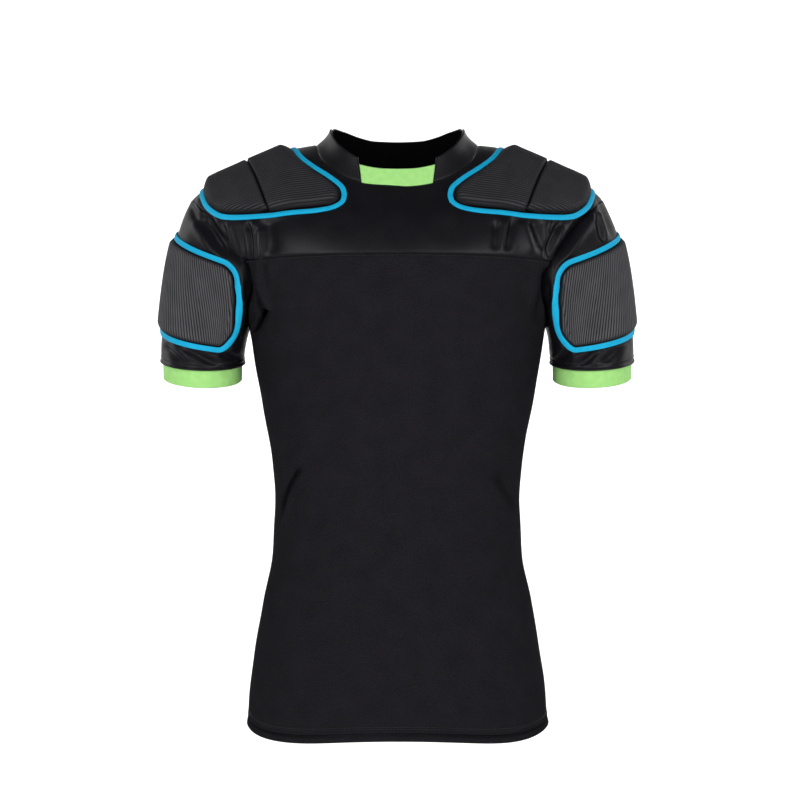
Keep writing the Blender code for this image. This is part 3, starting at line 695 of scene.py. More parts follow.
def bicep_chart(round_arm, down):
    """Sleeve points by distance round the arm and down the pad."""
    u, v = np.broadcast_arrays(round_arm / BICEP_WIDE, 1 - down / BICEP_TALL)
    low, high = BICEP_PAD["low"], BICEP_PAD["high"]
    first = np.radians(BICEP_PAD["turn_low"][0] * (1 - v) + BICEP_PAD["turn_high"][0] * v)
    last = np.radians(BICEP_PAD["turn_low"][1])
    reach = np.interp(first, ARM_TURNS, ARM_REACH) * (1 - u) + np.interp(last, ARM_TURNS, ARM_REACH) * u
    turn = np.interp(reach, ARM_REACH, ARM_TURNS)
    u = (turn - first) / (last - first)
    bottom = low[0] * (1 - u) + low[1] * u
    top = high[0] * (1 - u) + high[1] * u + BICEP_BOW * 4 * u * (1 - u)
    wanted = bottom * (1 - v) + top * v
    shape = turn.shape + (DOWN_STEPS,)
    shares = np.linspace(1, 0, DOWN_STEPS)
    up_arm = lengths(sleeve_at(np.broadcast_to(turn[..., None], shape), np.broadcast_to(shares, shape)))
    pairs = zip(wanted.ravel(), up_arm.reshape(-1, DOWN_STEPS))
    found = [np.interp(want, row, shares) for want, row in pairs]
    return sleeve_at(turn, np.array(found).reshape(turn.shape))


def rounded_box(wide, tall, radii, per_corner):
    """A rectangle with a radius at each corner: back low, front low, front high and back high."""
    points = []
    for radius, (far, low), start in zip(radii, ((1, 1), (0, 1), (0, 0), (1, 0)), (0, 90, 180, 270)):
        x = wide - radius if far else radius
        y = tall - radius if low else radius
        for angle in np.radians(start + np.linspace(0, 90, per_corner)):
            points.append((x + radius * math.cos(angle), y + radius * math.sin(angle)))
    return np.array(points)


def groove(reach):
    """Where the gap between the two blocks of a shoulder pad runs."""
    return GROOVE_TOP - GROOVE_LEAN * (np.hypot(reach, GROOVE_ROUND) - GROOVE_ROUND)


# Half of the neck seam, from the front middle over the shoulder to the back middle
NECK_QUARTER = np.linspace(0, math.pi / 2, NECK_STEPS)
NECK_TURN = np.concatenate([NECK_QUARTER, math.pi - NECK_QUARTER[-2::-1]])
NECK_SHARES = NECK_QUARTER / (math.pi / 2) * NECK_SHARE
NECK_EDGE = np.concatenate([yoke_at(-1, NECK_SHARES, np.ones_like(NECK_SHARES)),
                            yoke_at(1, NECK_SHARES[-2::-1], np.ones_like(NECK_SHARES[1:]))])


def band_rows(turn, end, top, steps):
    """Rows of the neck band up to a share of its height, the first tucked below the seam.

    turn and end are the angles from the front middle at the seam and at the rim.
    """
    seam = between(np.abs(turn), NECK_TURN, NECK_EDGE)
    seam[:, 0] *= np.sign(turn)
    rim = np.stack([RIM_WIDTH * NECK_HALF * power(np.sin(end), 2 / NECK_SQUARENESS), RIM_DEPTH * seam[:, 1],
                    smooth(RIM, "height", np.degrees(np.abs(end)))], -1)
    seam = seam + SEAM * unit(rim - seam)
    share = np.linspace(0, 1, steps + 1)[:, None] * top
    hollow = COLLAR_HOLLOW * np.sin(math.pi * share) * np.sin(turn) ** 2
    rows = seam + (rim - seam) * share[..., None] - unit(seam * (1, 1, 0)) * hollow[..., None]
    rows[0] -= unit(rows[1] - rows[0]) * COLLAR_TUCK
    return rows


def mirrored(points, hand):
    """Points of the left piece, or of the right one when hand is -1."""
    return points * (hand, 1, 1)


def normals_of(rows, inside, closed=False):
    """Normals of a grid of points that face away from a point inside."""
    if closed:
        beside = np.roll(rows, -1, 1) - np.roll(rows, 1, 1)
    else:
        beside = np.gradient(rows, axis=1, edge_order=2)
    normals = unit(np.cross(beside, np.gradient(rows, axis=0, edge_order=2)))
    return normals if np.sum(normals * (rows - inside)) > 0 else -normals


def arcs(rows):
    """Distance of each point along its row and along its column."""
    return lengths(rows), lengths(rows.swapaxes(0, 1)).T


def off_segment(flat, start, end):
    """Gap of flat points from a straight piece, the share along it and the side they are on."""
    run = end - start
    away = flat - start
    share = np.clip(away @ run / max(run @ run, TINY), 0, 1)
    gap = np.linalg.norm(away - share[:, None] * run, axis=1)
    return gap, share, np.sign(run[0] * away[:, 1] - run[1] * away[:, 0])


def one_crease(flat, path, wide, deep, ridge):
    """How far one crease moves each point of a front view, the trough in and its ridge out."""
    nearest = np.full(len(flat), np.inf)
    offset, along = np.zeros((2, len(flat)))
    for i, (start, end) in enumerate(zip(path[:-1], path[1:])):
        gap, share, hand = off_segment(flat, start, end)
        closer = gap < nearest
        nearest = np.where(closer, gap, nearest)
        offset = np.where(closer, hand * gap, offset)
        along = np.where(closer, (i + share) / (len(path) - 1), along)
    fade = ease(along / CREASE_STARTS) * ease((1 - along) / CREASE_ENDS)
    beside = (offset * np.sign(ridge) - RIDGE_AWAY * wide) / (RIDGE_WIDE * wide)
    return deep * fade * (abs(ridge) * bell(beside) - bell(nearest / wide))


def creased(points, normals):
    """How far creases move each point that faces the side they are on."""
    move = np.zeros(points.shape[:-1])
    flat = points[..., [0, 2]]
    share = np.linspace(0, 1, CREASE_STEPS)[:, None]
    for side, rows in ((-1, FRONT_CREASES), (1, BACK_CREASES)):
        facing = ease(side * normals[..., 1] / FACING)
        for *places, wide, deep, ridge in rows:
            start, middle, end = np.reshape(places, (3, 2))
            bend = 2 * middle - (start + end) / 2
            path = (1 - share) ** 2 * start + 2 * share * (1 - share) * bend + share ** 2 * end
            room = CREASE_REACH * wide
            inside = (flat > path.min(0) - room) & (flat < path.max(0) + room)
            near = (facing > 0) & inside.all(-1)
            if near.any():
                move[near] += facing[near] * one_crease(flat[near], path, wide, deep, ridge)
    return move


def waved(points):
    """Slow uneven waves over the cloth."""
    waves = [np.sin(points @ np.array(rates) + phase) for *rates, phase in zip(*WAVES.values())]
    return WAVE_DEEP * sum(waves)


def seam_dip(distance, along):
    """How far cloth sinks at a distance from a seam, with small puckers along it."""
    wander = PUCKER_WANDER * np.sin(along * PUCKER_WANDER_RATE)
    pucker = 0.5 + 0.5 * np.sin(2 * math.pi * along / PUCKER_PITCH + wander)
    away = distance / PUCKER_WIDE
    return -SEAM_DIP * bell(distance / SEAM_WIDE) - PUCKER_DEEP * pucker * away * bell(away)


def side_dips(beside, along):
    """How far cloth sinks along both sides of a panel."""
    return seam_dip(beside, along) + seam_dip(beside[:, -1:] - beside, along)


def hem_fold(distance, along, tall, roll):
    """The folded edge: a double layer below the stitches, rolled in a little above the edge."""
    swing = np.sin(along * ROLL_RATES[0] + ROLL_PHASE) * np.sin(along * ROLL_RATES[1])
    uneven = ROLL_EVEN + (1 - ROLL_EVEN) * swing
    layer = HEM_LAYER * (1 - ease((distance - tall + HEM_LAYER_EDGE) / (2 * HEM_LAYER_EDGE)))
    rolled = ROLL_DEEP * roll * uneven * bell((distance - roll) / (ROLL_WIDE * roll))
    flare = HEM_FLARE * uneven * ease(1 - distance / roll)
    return layer - rolled + flare - HEM_STITCH_DIP * bell((distance - tall) / HEM_STITCH_WIDE)


def clear_of_tape(points):
    """0 beside a taped line and 1 away from it, so that the cloth lies flat under the tape."""
    flat = points.reshape(-1, 3)
    taped = np.concatenate(TAPED)
    parts = np.array_split(flat, len(flat) // NEAR_PART + 1)
    gaps = [np.linalg.norm(part[:, None] - taped, axis=2).min(1) for part in parts]
    return ease((np.concatenate(gaps).reshape(points.shape[:-1]) - TAPE_CLEAR) / TAPE_FADE)


def moved(rows, normals, push, from_armhole, clear, sewn):
    """Rows moved by waves, valley and seams along their normals, and by creases along push."""
    valley = smooth(VALLEY, "deep", rows[..., 2]) * bell(from_armhole / VALLEY_WIDE)
    even = (waved(rows) - valley) * clear + sewn
    folds = creased(rows, normals) * clear
    return rows + normals * even[..., None] + push * folds[..., None]


def add(name, points, faces, material, cut=None, rib=None):
    """One piece of the object as a mesh, with its cloth coordinates and the rib heights that the pad covers
    turn into painted highlight and shade.
    """
    mesh = bpy.data.meshes.new(name)
    mesh.from_pydata(points.tolist(), [], faces)
    stores = (("cut", "FLOAT_VECTOR", "vector", cut), ("rib", "FLOAT", "value", rib))
    for key, kind, field, values in stores:
        if values is not None:
            stored = mesh.attributes.new(key, kind, "POINT").data
            stored.foreach_set(field, values.astype(np.float32).ravel())
    bm = bmesh.new()
    bm.from_mesh(mesh)
    bmesh.ops.recalc_face_normals(bm, faces=bm.faces)
    bm.to_mesh(mesh)
    bm.free()
    mesh.polygons.foreach_set("use_smooth", np.ones(len(mesh.polygons), bool))
    mesh.materials.append(material)
    piece = bpy.data.objects.new(name, mesh)
    bpy.context.collection.objects.link(piece)
    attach(piece, "root")
    return piece


def quads(grid, closed=False):
    """Faces of a grid of point numbers."""
    following = np.roll(grid, -1, 1) if closed else grid[:, 1:]
    here = grid if closed else grid[:, :-1]
    return np.stack([here[:-1], following[:-1], following[1:], here[1:]], -1).reshape(-1, 4).tolist()


# Edges of a grid of points, each with the line of points beside it
EDGES = (
    ("first", 0, 1),
    ("last", -1, -2),
    ("left", np.s_[:, 0], np.s_[:, 1]),
    ("right", np.s_[:, -1], np.s_[:, -2]),
)


def shell(name, rows, normals, thick, material, cut, closed=False, free=(), inside_shade=None):
    """A thin closed wall of cloth: free edges are round and sewn ones meet the next piece."""
    drawn = rows.copy()
    middle = rows - normals * thick / 2
    for edge, at, beside in EDGES[:2] if closed else EDGES:
        inward = unit(rows[beside] - rows[at])
        drawn[at] += inward * (thick / 2 if edge in free else -SEAM)
        middle[at] -= inward * (0 if edge in free else SEAM)
    grid = np.arange(rows.shape[0] * rows.shape[1]).reshape(rows.shape[:2])
    if closed:
        loops = [grid[0], grid[-1]]
    else:
        loops = [np.concatenate([grid[0], grid[1:, -1], grid[-1, -2::-1], grid[-2:0:-1, 0]])]
    size = grid.size
    walls = quads(grid, closed)
    faces = walls + quads(grid + size, closed)
    rim = 2 * size
    for loop in loops:
        faces += quads(np.stack([loop, rim + np.arange(len(loop)), loop + size]), closed=True)
        rim += len(loop)
    around = np.concatenate(loops)
    parts = (drawn, drawn - normals * thick, middle, cut)
    outer, inner, edge, cuts = [part.reshape(-1, 3) for part in parts]
    points = np.concatenate([outer, inner, edge[around]])
    piece = add(name, points, faces, material, np.concatenate([cuts, cuts, cuts[around]]))
    if inside_shade is not None:
        # The inner faces take the second, near-black material: painted shade inside the piece
        piece.data.materials.append(inside_shade)
        for polygon in piece.data.polygons[len(walls):2 * len(walls)]:
            polygon.material_index = 1
    return piece


def flat_size(rows, closed):
    """Width, length and area of the cut that a grid of points was made from."""
    full = np.concatenate([rows, rows[:, :1]], 1) if closed else rows
    beside, along = arcs(full)
    first = np.diff(full, axis=1)[:-1]
    second = np.diff(full, axis=0)[:, :-1]
    area = float(np.linalg.norm(np.cross(first, second), axis=-1).sum())
    wide, long = float(beside[:, -1].max()), float(along[-1].max())
    return (wide, long), min(area, wide * long)


def stitched(name, lines, material):
    """Rows of thread stitches, each a small rounded bar lying along a line with its normals."""
    turns = np.linspace(0, 2 * math.pi, STITCH_SIDES, endpoint=False)
    ring = np.stack([np.cos(turns), np.sin(turns)], -1)
    grid = np.arange(len(STITCH_FORM["at"]) * STITCH_SIDES).reshape(-1, STITCH_SIDES)
    wide = STITCH_THICK / 2 * STITCH_FORM["width"][:, None, None]
    lift = STITCH_THICK * STITCH_FORM["lift"][:, None]
    points, faces = [], []
    for line, normals in lines:
        along = lengths(line)
        count = max(1, int(along[-1] // (STITCH_LONG + STITCH_GAP)))
        for start in (np.arange(count) + STITCH_FIRST) * along[-1] / count:
            at = np.clip(start + STITCH_LONG * STITCH_FORM["at"], 0, along[-1])
            middle = between(at, along, line)
            up = unit(between(at, along, normals))
            beside = unit(np.cross(up, unit(middle[-1] - middle[0])))
            bar = wide * (ring[:, :1] * beside[:, None] + ring[:, 1:] * up[:, None])
            here = grid + grid.size * len(points)
            faces += quads(here, closed=True) + [here[0].tolist(), here[-1].tolist()]
            points.append(((middle + up * lift)[:, None] + bar).reshape(-1, 3))
    return add(name, np.concatenate(points), faces, material)


def line_at(rows, normals, along, distance, from_end=False):
    """The line at a distance from a grid's first or last row, and the normals there."""
    away = along[-1] - along if from_end else along
    line, up = [], []
    for column in range(rows.shape[1]):
        order = np.argsort(away[:, column])
        gaps = away[order, column]
        line.append(between(distance, gaps, rows[order, column]))
        up.append(between(distance, gaps, normals[order, column]))
    return np.array(line), unit(np.array(up))


def side_lines(rows, normals, beside, distance):
    """The lines at a distance from a grid's first and last columns, and the normals there."""
    turned = [np.swapaxes(values, 0, 1) for values in (rows, normals, beside)]
    return [line_at(*turned, distance, from_end) for from_end in (False, True)]


def dress(name, node, form, rows, normals, fabric, closed=False, free=(), inside_shade=None,
          stitches=None, lines=()):
    """One panel in place of its solid, with stitches and the cut that its smooth form needs."""
    thick, material, slot = fabric
    beside, along = arcs(form)
    middle = beside[:, beside.shape[1] // 2, None]
    cut = np.stack([beside - middle, along, np.zeros_like(along)], -1)
    piece = shell(name, rows, normals, thick, material, cut, closed, free, inside_shade)
    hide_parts(node)
    pieces = [stitched(stitches, lines, BLACK_THREAD)] if lines else []
    size, area = flat_size(form, closed)


def zipped(first, second):
    """Triangles between two lines of points that run the same way."""
    faces = []
    i = j = 0
    while i < len(first) - 1 or j < len(second) - 1:
        ahead = (i + 1) / max(len(first) - 1, 1)
        if j == len(second) - 1 or (i < len(first) - 1 and ahead <= (j + 1) / (len(second) - 1)):
            faces.append((first[i], first[i + 1], second[j]))
            i += 1
        else:
            faces.append((first[i], second[j + 1], second[j]))
            j += 1
    return faces


def pad_form(chart, edges, reach, outline, slope, seat, thick, split=None):
    """Points, faces, cloth coordinates and rib heights of a left foam pad with a ribbed cover; the rib
    heights set the cover's painted highlight and shade.

    edges gives both ends of a rib, reach the first and last rib, outline the pad's edge,
    and split a line that the pad also slopes down to.
    """
    ribs = max(2, round((reach[1] - reach[0]) / RIB_PITCH))
    spots = ((np.arange(ribs)[:, None] + RIB_SPOTS).ravel()) / ribs
    fine = reach[0] + (reach[1] - reach[0]) * np.append(spots, 1)
    wave = np.append(np.tile(np.sin(math.pi * RIB_SPOTS) ** RIB_ROUND, ribs), 0)
    bevel = np.linspace(0, 1, BEVEL_STEPS) ** BEVEL_CLOSER * BEVEL_SHARE
    middle = np.linspace(BEVEL_SHARE, 1 - BEVEL_SHARE, PAD_COLUMNS)
    share = np.concatenate([bevel[:-1], middle, 1 - bevel[-2::-1]])
    ends = np.array([edges(at) for at in fine])
    second = ends[:, :1] + (ends[:, 1:] - ends[:, :1]) * share[None]
    first = np.broadcast_to(fine[:, None], second.shape)
    flat = np.stack([first, second], -1).reshape(-1, 2)
    gaps = [off_segment(flat, start, end)[0] for start, end in zip(outline, np.roll(outline, -1, 0))]
    rise = np.clip(np.min(gaps, 0).reshape(first.shape) / slope, 0, 1)
    ridge = np.broadcast_to(wave[:, None], first.shape)
    if split is not None:
        beside = np.clip(np.abs(second - split(first)) / GROOVE_BEVEL, 0, 1)
        rise = np.minimum(rise, GROOVE_FLOOR + (1 - GROOVE_FLOOR) * beside)
        # Beside the groove between the blocks the ribs sink flat and their stored height falls to 0, which
        # paints the cover dark there: painted shade in the groove
        ridge = ridge * ease(beside)
    ribbed = ease(rise * RIB_FADE)
    bevelled = 1 - np.maximum(0, 1 - rise / BEVEL_TURN) ** BEVEL_ROUND
    height = seat + PAD_EDGE + (thick - PAD_EDGE) * bevelled - RIB_DEEP * (1 - ridge) * ribbed
    top, _ = lifted(chart, first, second, height)
    places = [np.unique(np.append(np.arange(0, count, step), count - 1))
              for count, step in zip(first.shape, UNDER_STEPS)]
    low_first, low_second = first[np.ix_(*places)], second[np.ix_(*places)]
    under, _ = lifted(chart, low_first, low_second, seat)
    top_grid = np.arange(first.size).reshape(first.shape)
    under_grid = first.size + np.arange(low_first.size).reshape(low_first.shape)
    faces = quads(top_grid) + quads(under_grid)
    for end in (0, -1):
        faces += zipped(top_grid[end].tolist(), under_grid[end].tolist())
        faces += zipped(top_grid[:, end].tolist(), under_grid[:, end].tolist())
    low_flat = np.stack([low_first, low_second], -1).reshape(-1, 2)
    cut = np.concatenate([flat, low_flat])
    cut = np.column_stack([cut, np.zeros(len(cut))])
    # Rib heights for the cover's colour: painted highlight on rib tops, and painted shade in the grooves,
    # beside the groove between blocks and near the pad's edge where the ribs fade
    heights = np.concatenate([(ridge * ribbed).ravel(), np.zeros(low_first.size)])
    return np.concatenate([top.reshape(-1, 3), under.reshape(-1, 3)]), faces, cut, heights


def tape_form(chart, line, seat):
    """Points, faces and cloth coordinates of a left tape, and the line of stitches along it."""
    top = seat + TAPE_THICK
    half = [(0.5, TAPE_UNDER), (0.5, seat + TAPE_SIDE * TAPE_THICK), (TAPE_TURN, top - TAPE_DOME),
            (TAPE_FLAT, top)]
    section = [(-beside, height) for beside, height in half] + [(0.0, top)] + half[::-1]
    rings = [lifted(chart, *inset(chart, line, beside * TAPE_WIDE).T, height)[0]
             for beside, height in section]
    around = np.arange(len(line)) / len(line) * lengths(rings[len(half)])[-1]
    beside, around = np.meshgrid([beside * TAPE_WIDE for beside, _ in section], around)
    cut = np.stack([beside, around, np.zeros_like(around)], -1)
    grid = np.arange(cut.size // 3).reshape(cut.shape[:2])
    middle, up = lifted(chart, *line.T, top)
    points = np.stack(rings, 1).reshape(-1, 3)
    return points, quads(looped(grid), closed=True), cut.reshape(-1, 3), (looped(middle), looped(up))


# Materials: where most values of a noise lie, and the tones and shine of each kind
NOISE_LOW = 0.3
NOISE_HIGH = 0.7
BAND_RADIANS = 20
FIBRE_DRAW = (1.0, 0.25, 1.0)
KNIT_CLOUDS = 0.6
KNIT_SPECKLE = 2.0
KNIT_RANGE = (1.4, 2.8)
KNIT_ROUGH_SPREAD = 0.05
COVER_RANGE = (0.6, 1.4)
COVER_TONES = (0.55, 1.15)
COVER_ROUGH = (0.52, 0.66)
COVER_SPECULAR = 0.06
# How narrowly the painted highlight keeps to the rib tops
RIB_LIGHT_POWER = 2.0
CROSS_PITCH = 0.55
CROSS_SHARE = 0.4
WEAVE_SHARE = 0.55
WEAVE_ROUGH_SPREAD = 0.06
THREAD_ROUGH = (0.42, 0.6)
THREAD_SPECULAR = 0.35
PALE = (0.92, 0.92, 0.92, 1)


def nodes_of(name):
    """A new material, its nodes and its shader."""
    made = bpy.data.materials.new(name)
    made.use_nodes = True
    shader = next(node for node in made.node_tree.nodes if node.type == "BSDF_PRINCIPLED")
    return made, made.node_tree, shader


def feed(tree, node, inputs):
    """Gives a node's inputs their values, or links to other nodes' outputs."""
    for key, value in inputs.items():
        if isinstance(value, bpy.types.NodeSocket):
            tree.links.new(value, node.inputs[key])
        else:
            node.inputs[key].default_value = value


def put(tree, kind, inputs, **settings):
    """A new node with its settings and inputs."""
    node = tree.nodes.new(kind)
    for key, value in settings.items():
        setattr(node, key, value)
    feed(tree, node, inputs)
    return node


def shade(tree, shader, colour, roughness, specular):
    """The shader's colour, roughness and shine."""
    feed(tree, shader, {"Base Color": colour, "Roughness": roughness, "Specular IOR Level": specular})


def attribute(tree, name, output):
    """A value stored on the mesh."""
    return put(tree, "ShaderNodeAttribute", {}, attribute_name=name).outputs[output]


def noise(tree, vector, scale, detail):
    """Soft uneven values between 0 and 1."""
    inputs = {"Vector": vector, "Scale": scale, "Detail": detail}
    return put(tree, "ShaderNodeTexNoise", inputs).outputs["Fac"]


def bands(tree, vector, direction, pitch, uneven):
    """Threads side by side at a pitch in metres, from bands that turn by BAND_RADIANS a metre."""
    scale = 2 * math.pi / (BAND_RADIANS * pitch)
    inputs = {"Vector": vector, "Scale": scale, "Distortion": uneven, "Detail Scale": 0.5}
    node = put(tree, "ShaderNodeTexWave", inputs, wave_type="BANDS", bands_direction=direction)
    return node.outputs["Fac"]


def combined(tree, first, second, operation="ADD"):
    """Two values put together."""
    return put(tree, "ShaderNodeMath", {0: first, 1: second}, operation=operation).outputs[0]


def mixed(tree, share, first, second):
    """A colour between two others."""
    inputs = {0: share, 6: (*first, 1), 7: (*second, 1)}
    return put(tree, "ShaderNodeMix", inputs, data_type="RGBA").outputs[2]


def ranged(tree, value, low, high, to_low, to_high):
    """A value moved from one range to another."""
    inputs = {"Value": value, "From Min": low, "From Max": high, "To Min": to_low, "To Max": to_high}
    return put(tree, "ShaderNodeMapRange", inputs).outputs["Result"]


def toned(tree, value, low, high):
    """The usual range of a noise moved to another one."""
    return ranged(tree, value, NOISE_LOW, NOISE_HIGH, low, high)


def bumped(tree, shader, height, strength, relief, before=None):
    """Relief on the shader's normal, on top of an earlier one."""
    inputs = {"Height": height, "Strength": strength, "Distance": relief}
    if before is not None:
        inputs["Normal"] = before
    normal = put(tree, "ShaderNodeBump", inputs).outputs["Normal"]
    feed(tree, shader, {"Normal": normal})
    return normal


def knit(name, dark, light, rough, specular, wale, course, relief):
    """Fine stretch knit: loops in wales and courses, with an uneven tone."""
    made, tree, shader = nodes_of(name)
    cut = attribute(tree, "cut", "Vector")
    wales = bands(tree, cut, "X", wale, uneven=0.6)
    courses = bands(tree, cut, "Y", course, uneven=0.4)
    loops = combined(tree, wales, courses, "MULTIPLY")
    tone = noise(tree, cut, scale=38.0, detail=4.0)
    drawn = put(tree, "ShaderNodeVectorMath", {0: cut, 1: FIBRE_DRAW}, operation="MULTIPLY").outputs[0]
    fibres = noise(tree, drawn, scale=2600.0, detail=2.0)
    clouds = combined(tree, tone, KNIT_CLOUDS, "MULTIPLY")
    speckle = combined(tree, noise(tree, cut, scale=600.0, detail=1.0), KNIT_SPECKLE, "MULTIPLY")
    share = combined(tree, combined(tree, combined(tree, clouds, speckle), fibres), loops)
    colour = mixed(tree, ranged(tree, share, *KNIT_RANGE, 0, 1), dark, light)
    roughness = toned(tree, tone, rough - KNIT_ROUGH_SPREAD, rough + KNIT_ROUGH_SPREAD)
    shade(tree, shader, colour, roughness, specular)
    first = bumped(tree, shader, loops, strength=0.5, relief=relief)
    bumped(tree, shader, fibres, strength=0.25, relief=relief, before=first)
    return made


def ribbed_cover(name, ground_and_groove_shade, ridge_painted_light):
    """Cover of the pads: knitted ribs with a painted highlight on their tops and painted shade down in the
    grooves, over the dark cloth, with an uneven tone.
    """
    made, tree, shader = nodes_of(name)
    cut = attribute(tree, "cut", "Vector")
    grain = noise(tree, cut, scale=900.0, detail=3.0)
    tone = noise(tree, cut, scale=45.0, detail=3.0)
    loops = bands(tree, cut, "Y", pitch=0.0007, uneven=0.8)
    painted_rib_light = combined(tree, attribute(tree, "rib", "Fac"), RIB_LIGHT_POWER, "POWER")
    worn = ranged(tree, combined(tree, grain, tone), *COVER_RANGE, *COVER_TONES)
    # Rib tops get the lighter tone as painted highlight, and grooves the dark one as painted shade
    colour = mixed(tree, combined(tree, painted_rib_light, worn, "MULTIPLY"), ground_and_groove_shade, ridge_painted_light)
    shade(tree, shader, colour, toned(tree, grain, *COVER_ROUGH), COVER_SPECULAR)
    first = bumped(tree, shader, loops, strength=0.4, relief=0.00010)
    bumped(tree, shader, grain, strength=0.3, relief=0.00012, before=first)
    return made


def woven(name, dark, light, rough, specular, pitch, direction, relief):
    """Narrow woven tape or elastic: threads along it with fine ones across."""
    made, tree, shader = nodes_of(name)
    cut = attribute(tree, "cut", "Vector")
    along = bands(tree, cut, direction, pitch, uneven=0.3)
    across = bands(tree, cut, "Y" if direction == "X" else "X", pitch * CROSS_PITCH, uneven=0.5)
    weave = combined(tree, along, combined(tree, across, CROSS_SHARE, "MULTIPLY"))
    tone = noise(tree, cut, scale=130.0, detail=3.0)
    threads = ranged(tree, weave, 0, 1 + CROSS_SHARE, 0, WEAVE_SHARE)
    share = combined(tree, threads, toned(tree, tone, 0, 1 - WEAVE_SHARE))
    roughness = toned(tree, tone, rough - WEAVE_ROUGH_SPREAD, rough + WEAVE_ROUGH_SPREAD)
    shade(tree, shader, mixed(tree, share, dark, light), roughness, specular)
    bumped(tree, shader, weave, strength=0.5, relief=relief)
    return made


def thread(name, dark, light):
    """Twisted sewing thread."""
    made, tree, shader = nodes_of(name)
    twist = noise(tree, put(tree, "ShaderNodeTexCoord", {}).outputs["Object"], scale=2400.0, detail=1.0)
    shade(tree, shader, mixed(tree, twist, dark, light), toned(tree, twist, *THREAD_ROUGH), THREAD_SPECULAR)
    bumped(tree, shader, twist, strength=0.4, relief=0.00008)
    return made


BODY_KNIT = knit("body_knit", dark=(0.0031, 0.0030, 0.0037), light=(0.0121, 0.0115, 0.0136),
                 rough=0.66, specular=0.001, wale=0.00085, course=0.00065, relief=0.00012)
YOKE_KNIT = knit("yoke_knit", dark=(0.0018, 0.0018, 0.0025), light=(0.0054, 0.0053, 0.0071),
                 rough=0.42, specular=0.090, wale=0.00055, course=0.00050, relief=0.00005)
# Near-black knit for the collar's inner faces: painted shade inside the neck
COLLAR_INSIDE_SHADE = knit("collar_inside_painted_shade", dark=(0.0004, 0.0004, 0.0005), light=(0.0012, 0.0012, 0.0014),
                     rough=0.70, specular=0.01, wale=0.00085, course=0.00065, relief=0.00010)
# One cover cloth in two copies: the shoulder pads' copy is painted darker as painted shade, since their
# faces turn up away from the lamps
SHADED_SHOULDER_COVER = ribbed_cover("shoulder_cover_painted_shade", (0.0034, 0.0035, 0.0043), (0.0262, 0.0259, 0.0294))
BICEP_COVER = ribbed_cover("bicep_cover", (0.0040, 0.0041, 0.0050), (0.0620, 0.0610, 0.0662))
BLUE_TAPE = woven("blue_tape", dark=(0.003, 0.198, 0.346), light=(0.006, 0.268, 0.432),
                  rough=0.62, specular=0.08, pitch=0.00075, direction="X", relief=0.00008)
GREEN_ELASTIC = woven("green_elastic", dark=(0.168, 0.362, 0.098), light=(0.255, 0.472, 0.160),
                      rough=0.62, specular=0.05, pitch=0.00110, direction="Y", relief=0.00012)
BLACK_THREAD = thread("black_thread", (0.005, 0.005, 0.006), (0.014, 0.014, 0.015))
BLUE_THREAD = thread("blue_thread", (0.003, 0.150, 0.300), (0.006, 0.230, 0.420))

# Fabrics of the panels: thickness, material and slot
BODY_FABRIC = (CLOTH, BODY_KNIT, "body_knit")
YOKE_FABRIC = (CLOTH, YOKE_KNIT, "yoke_knit")
COLLAR_FABRIC = (COLLAR_CLOTH, YOKE_KNIT, "yoke_knit")
TAB_FABRIC = (COLLAR_CLOTH, GREEN_ELASTIC, "green_elastic")
CUFF_FABRIC = (CUFF_CLOTH, GREEN_ELASTIC, "green_elastic")

# Taped lines on the left side, as flat charts and as points in space
pad_reach = -SHOULDER_PAD["reach"]
inner_half = np.stack([pad_reach, SHOULDER_PAD["inner"]], -1)
outer_half = np.stack([pad_reach, SHOULDER_PAD["outer"]], -1)
front_half = np.concatenate([inner_half, outer_half[::-1]])
back_half = (front_half * (-1, 1))[::-1]
SHOULDER_LINE = closed_curve(np.concatenate([front_half, back_half[1:-1]]), TAPE_STEPS)
BICEP_LINE = evenly(rounded_box(BICEP_WIDE, BICEP_TALL, BICEP_CORNERS, CORNER_STEPS), TAPE_STEPS)
HANDS = (("left", 1), ("right", -1))
PATHS = (shoulder_chart(*SHOULDER_LINE.T), bicep_chart(*BICEP_LINE.T))
TAPED = [mirrored(path, hand) for path in PATHS for _, hand in HANDS]

# Shoulder and bicep pads with the tape round them
SHOULDER_EDGE = inset(shoulder_chart, SHOULDER_LINE, TAPE_WIDE / 2 + PAD_GAP)
BICEP_EDGE = inset(bicep_chart, BICEP_LINE, TAPE_WIDE / 2 + PAD_GAP)


def rib_range(edge):
    """Where the first and last rib of a pad run."""
    return float(edge[:, 0].min()) + RIB_END, float(edge[:, 0].max()) - RIB_END


def inner_edges(at):
    """Both ends of a rib of the inner shoulder block."""
    low, high = span(SHOULDER_EDGE, at)
    return low, min(float(groove(at)) - SEAM / 2, high)


def outer_edges(at):
    """Both ends of a rib of the outer shoulder block."""
    return float(groove(at)) + SEAM / 2, span(SHOULDER_EDGE, at)[1]


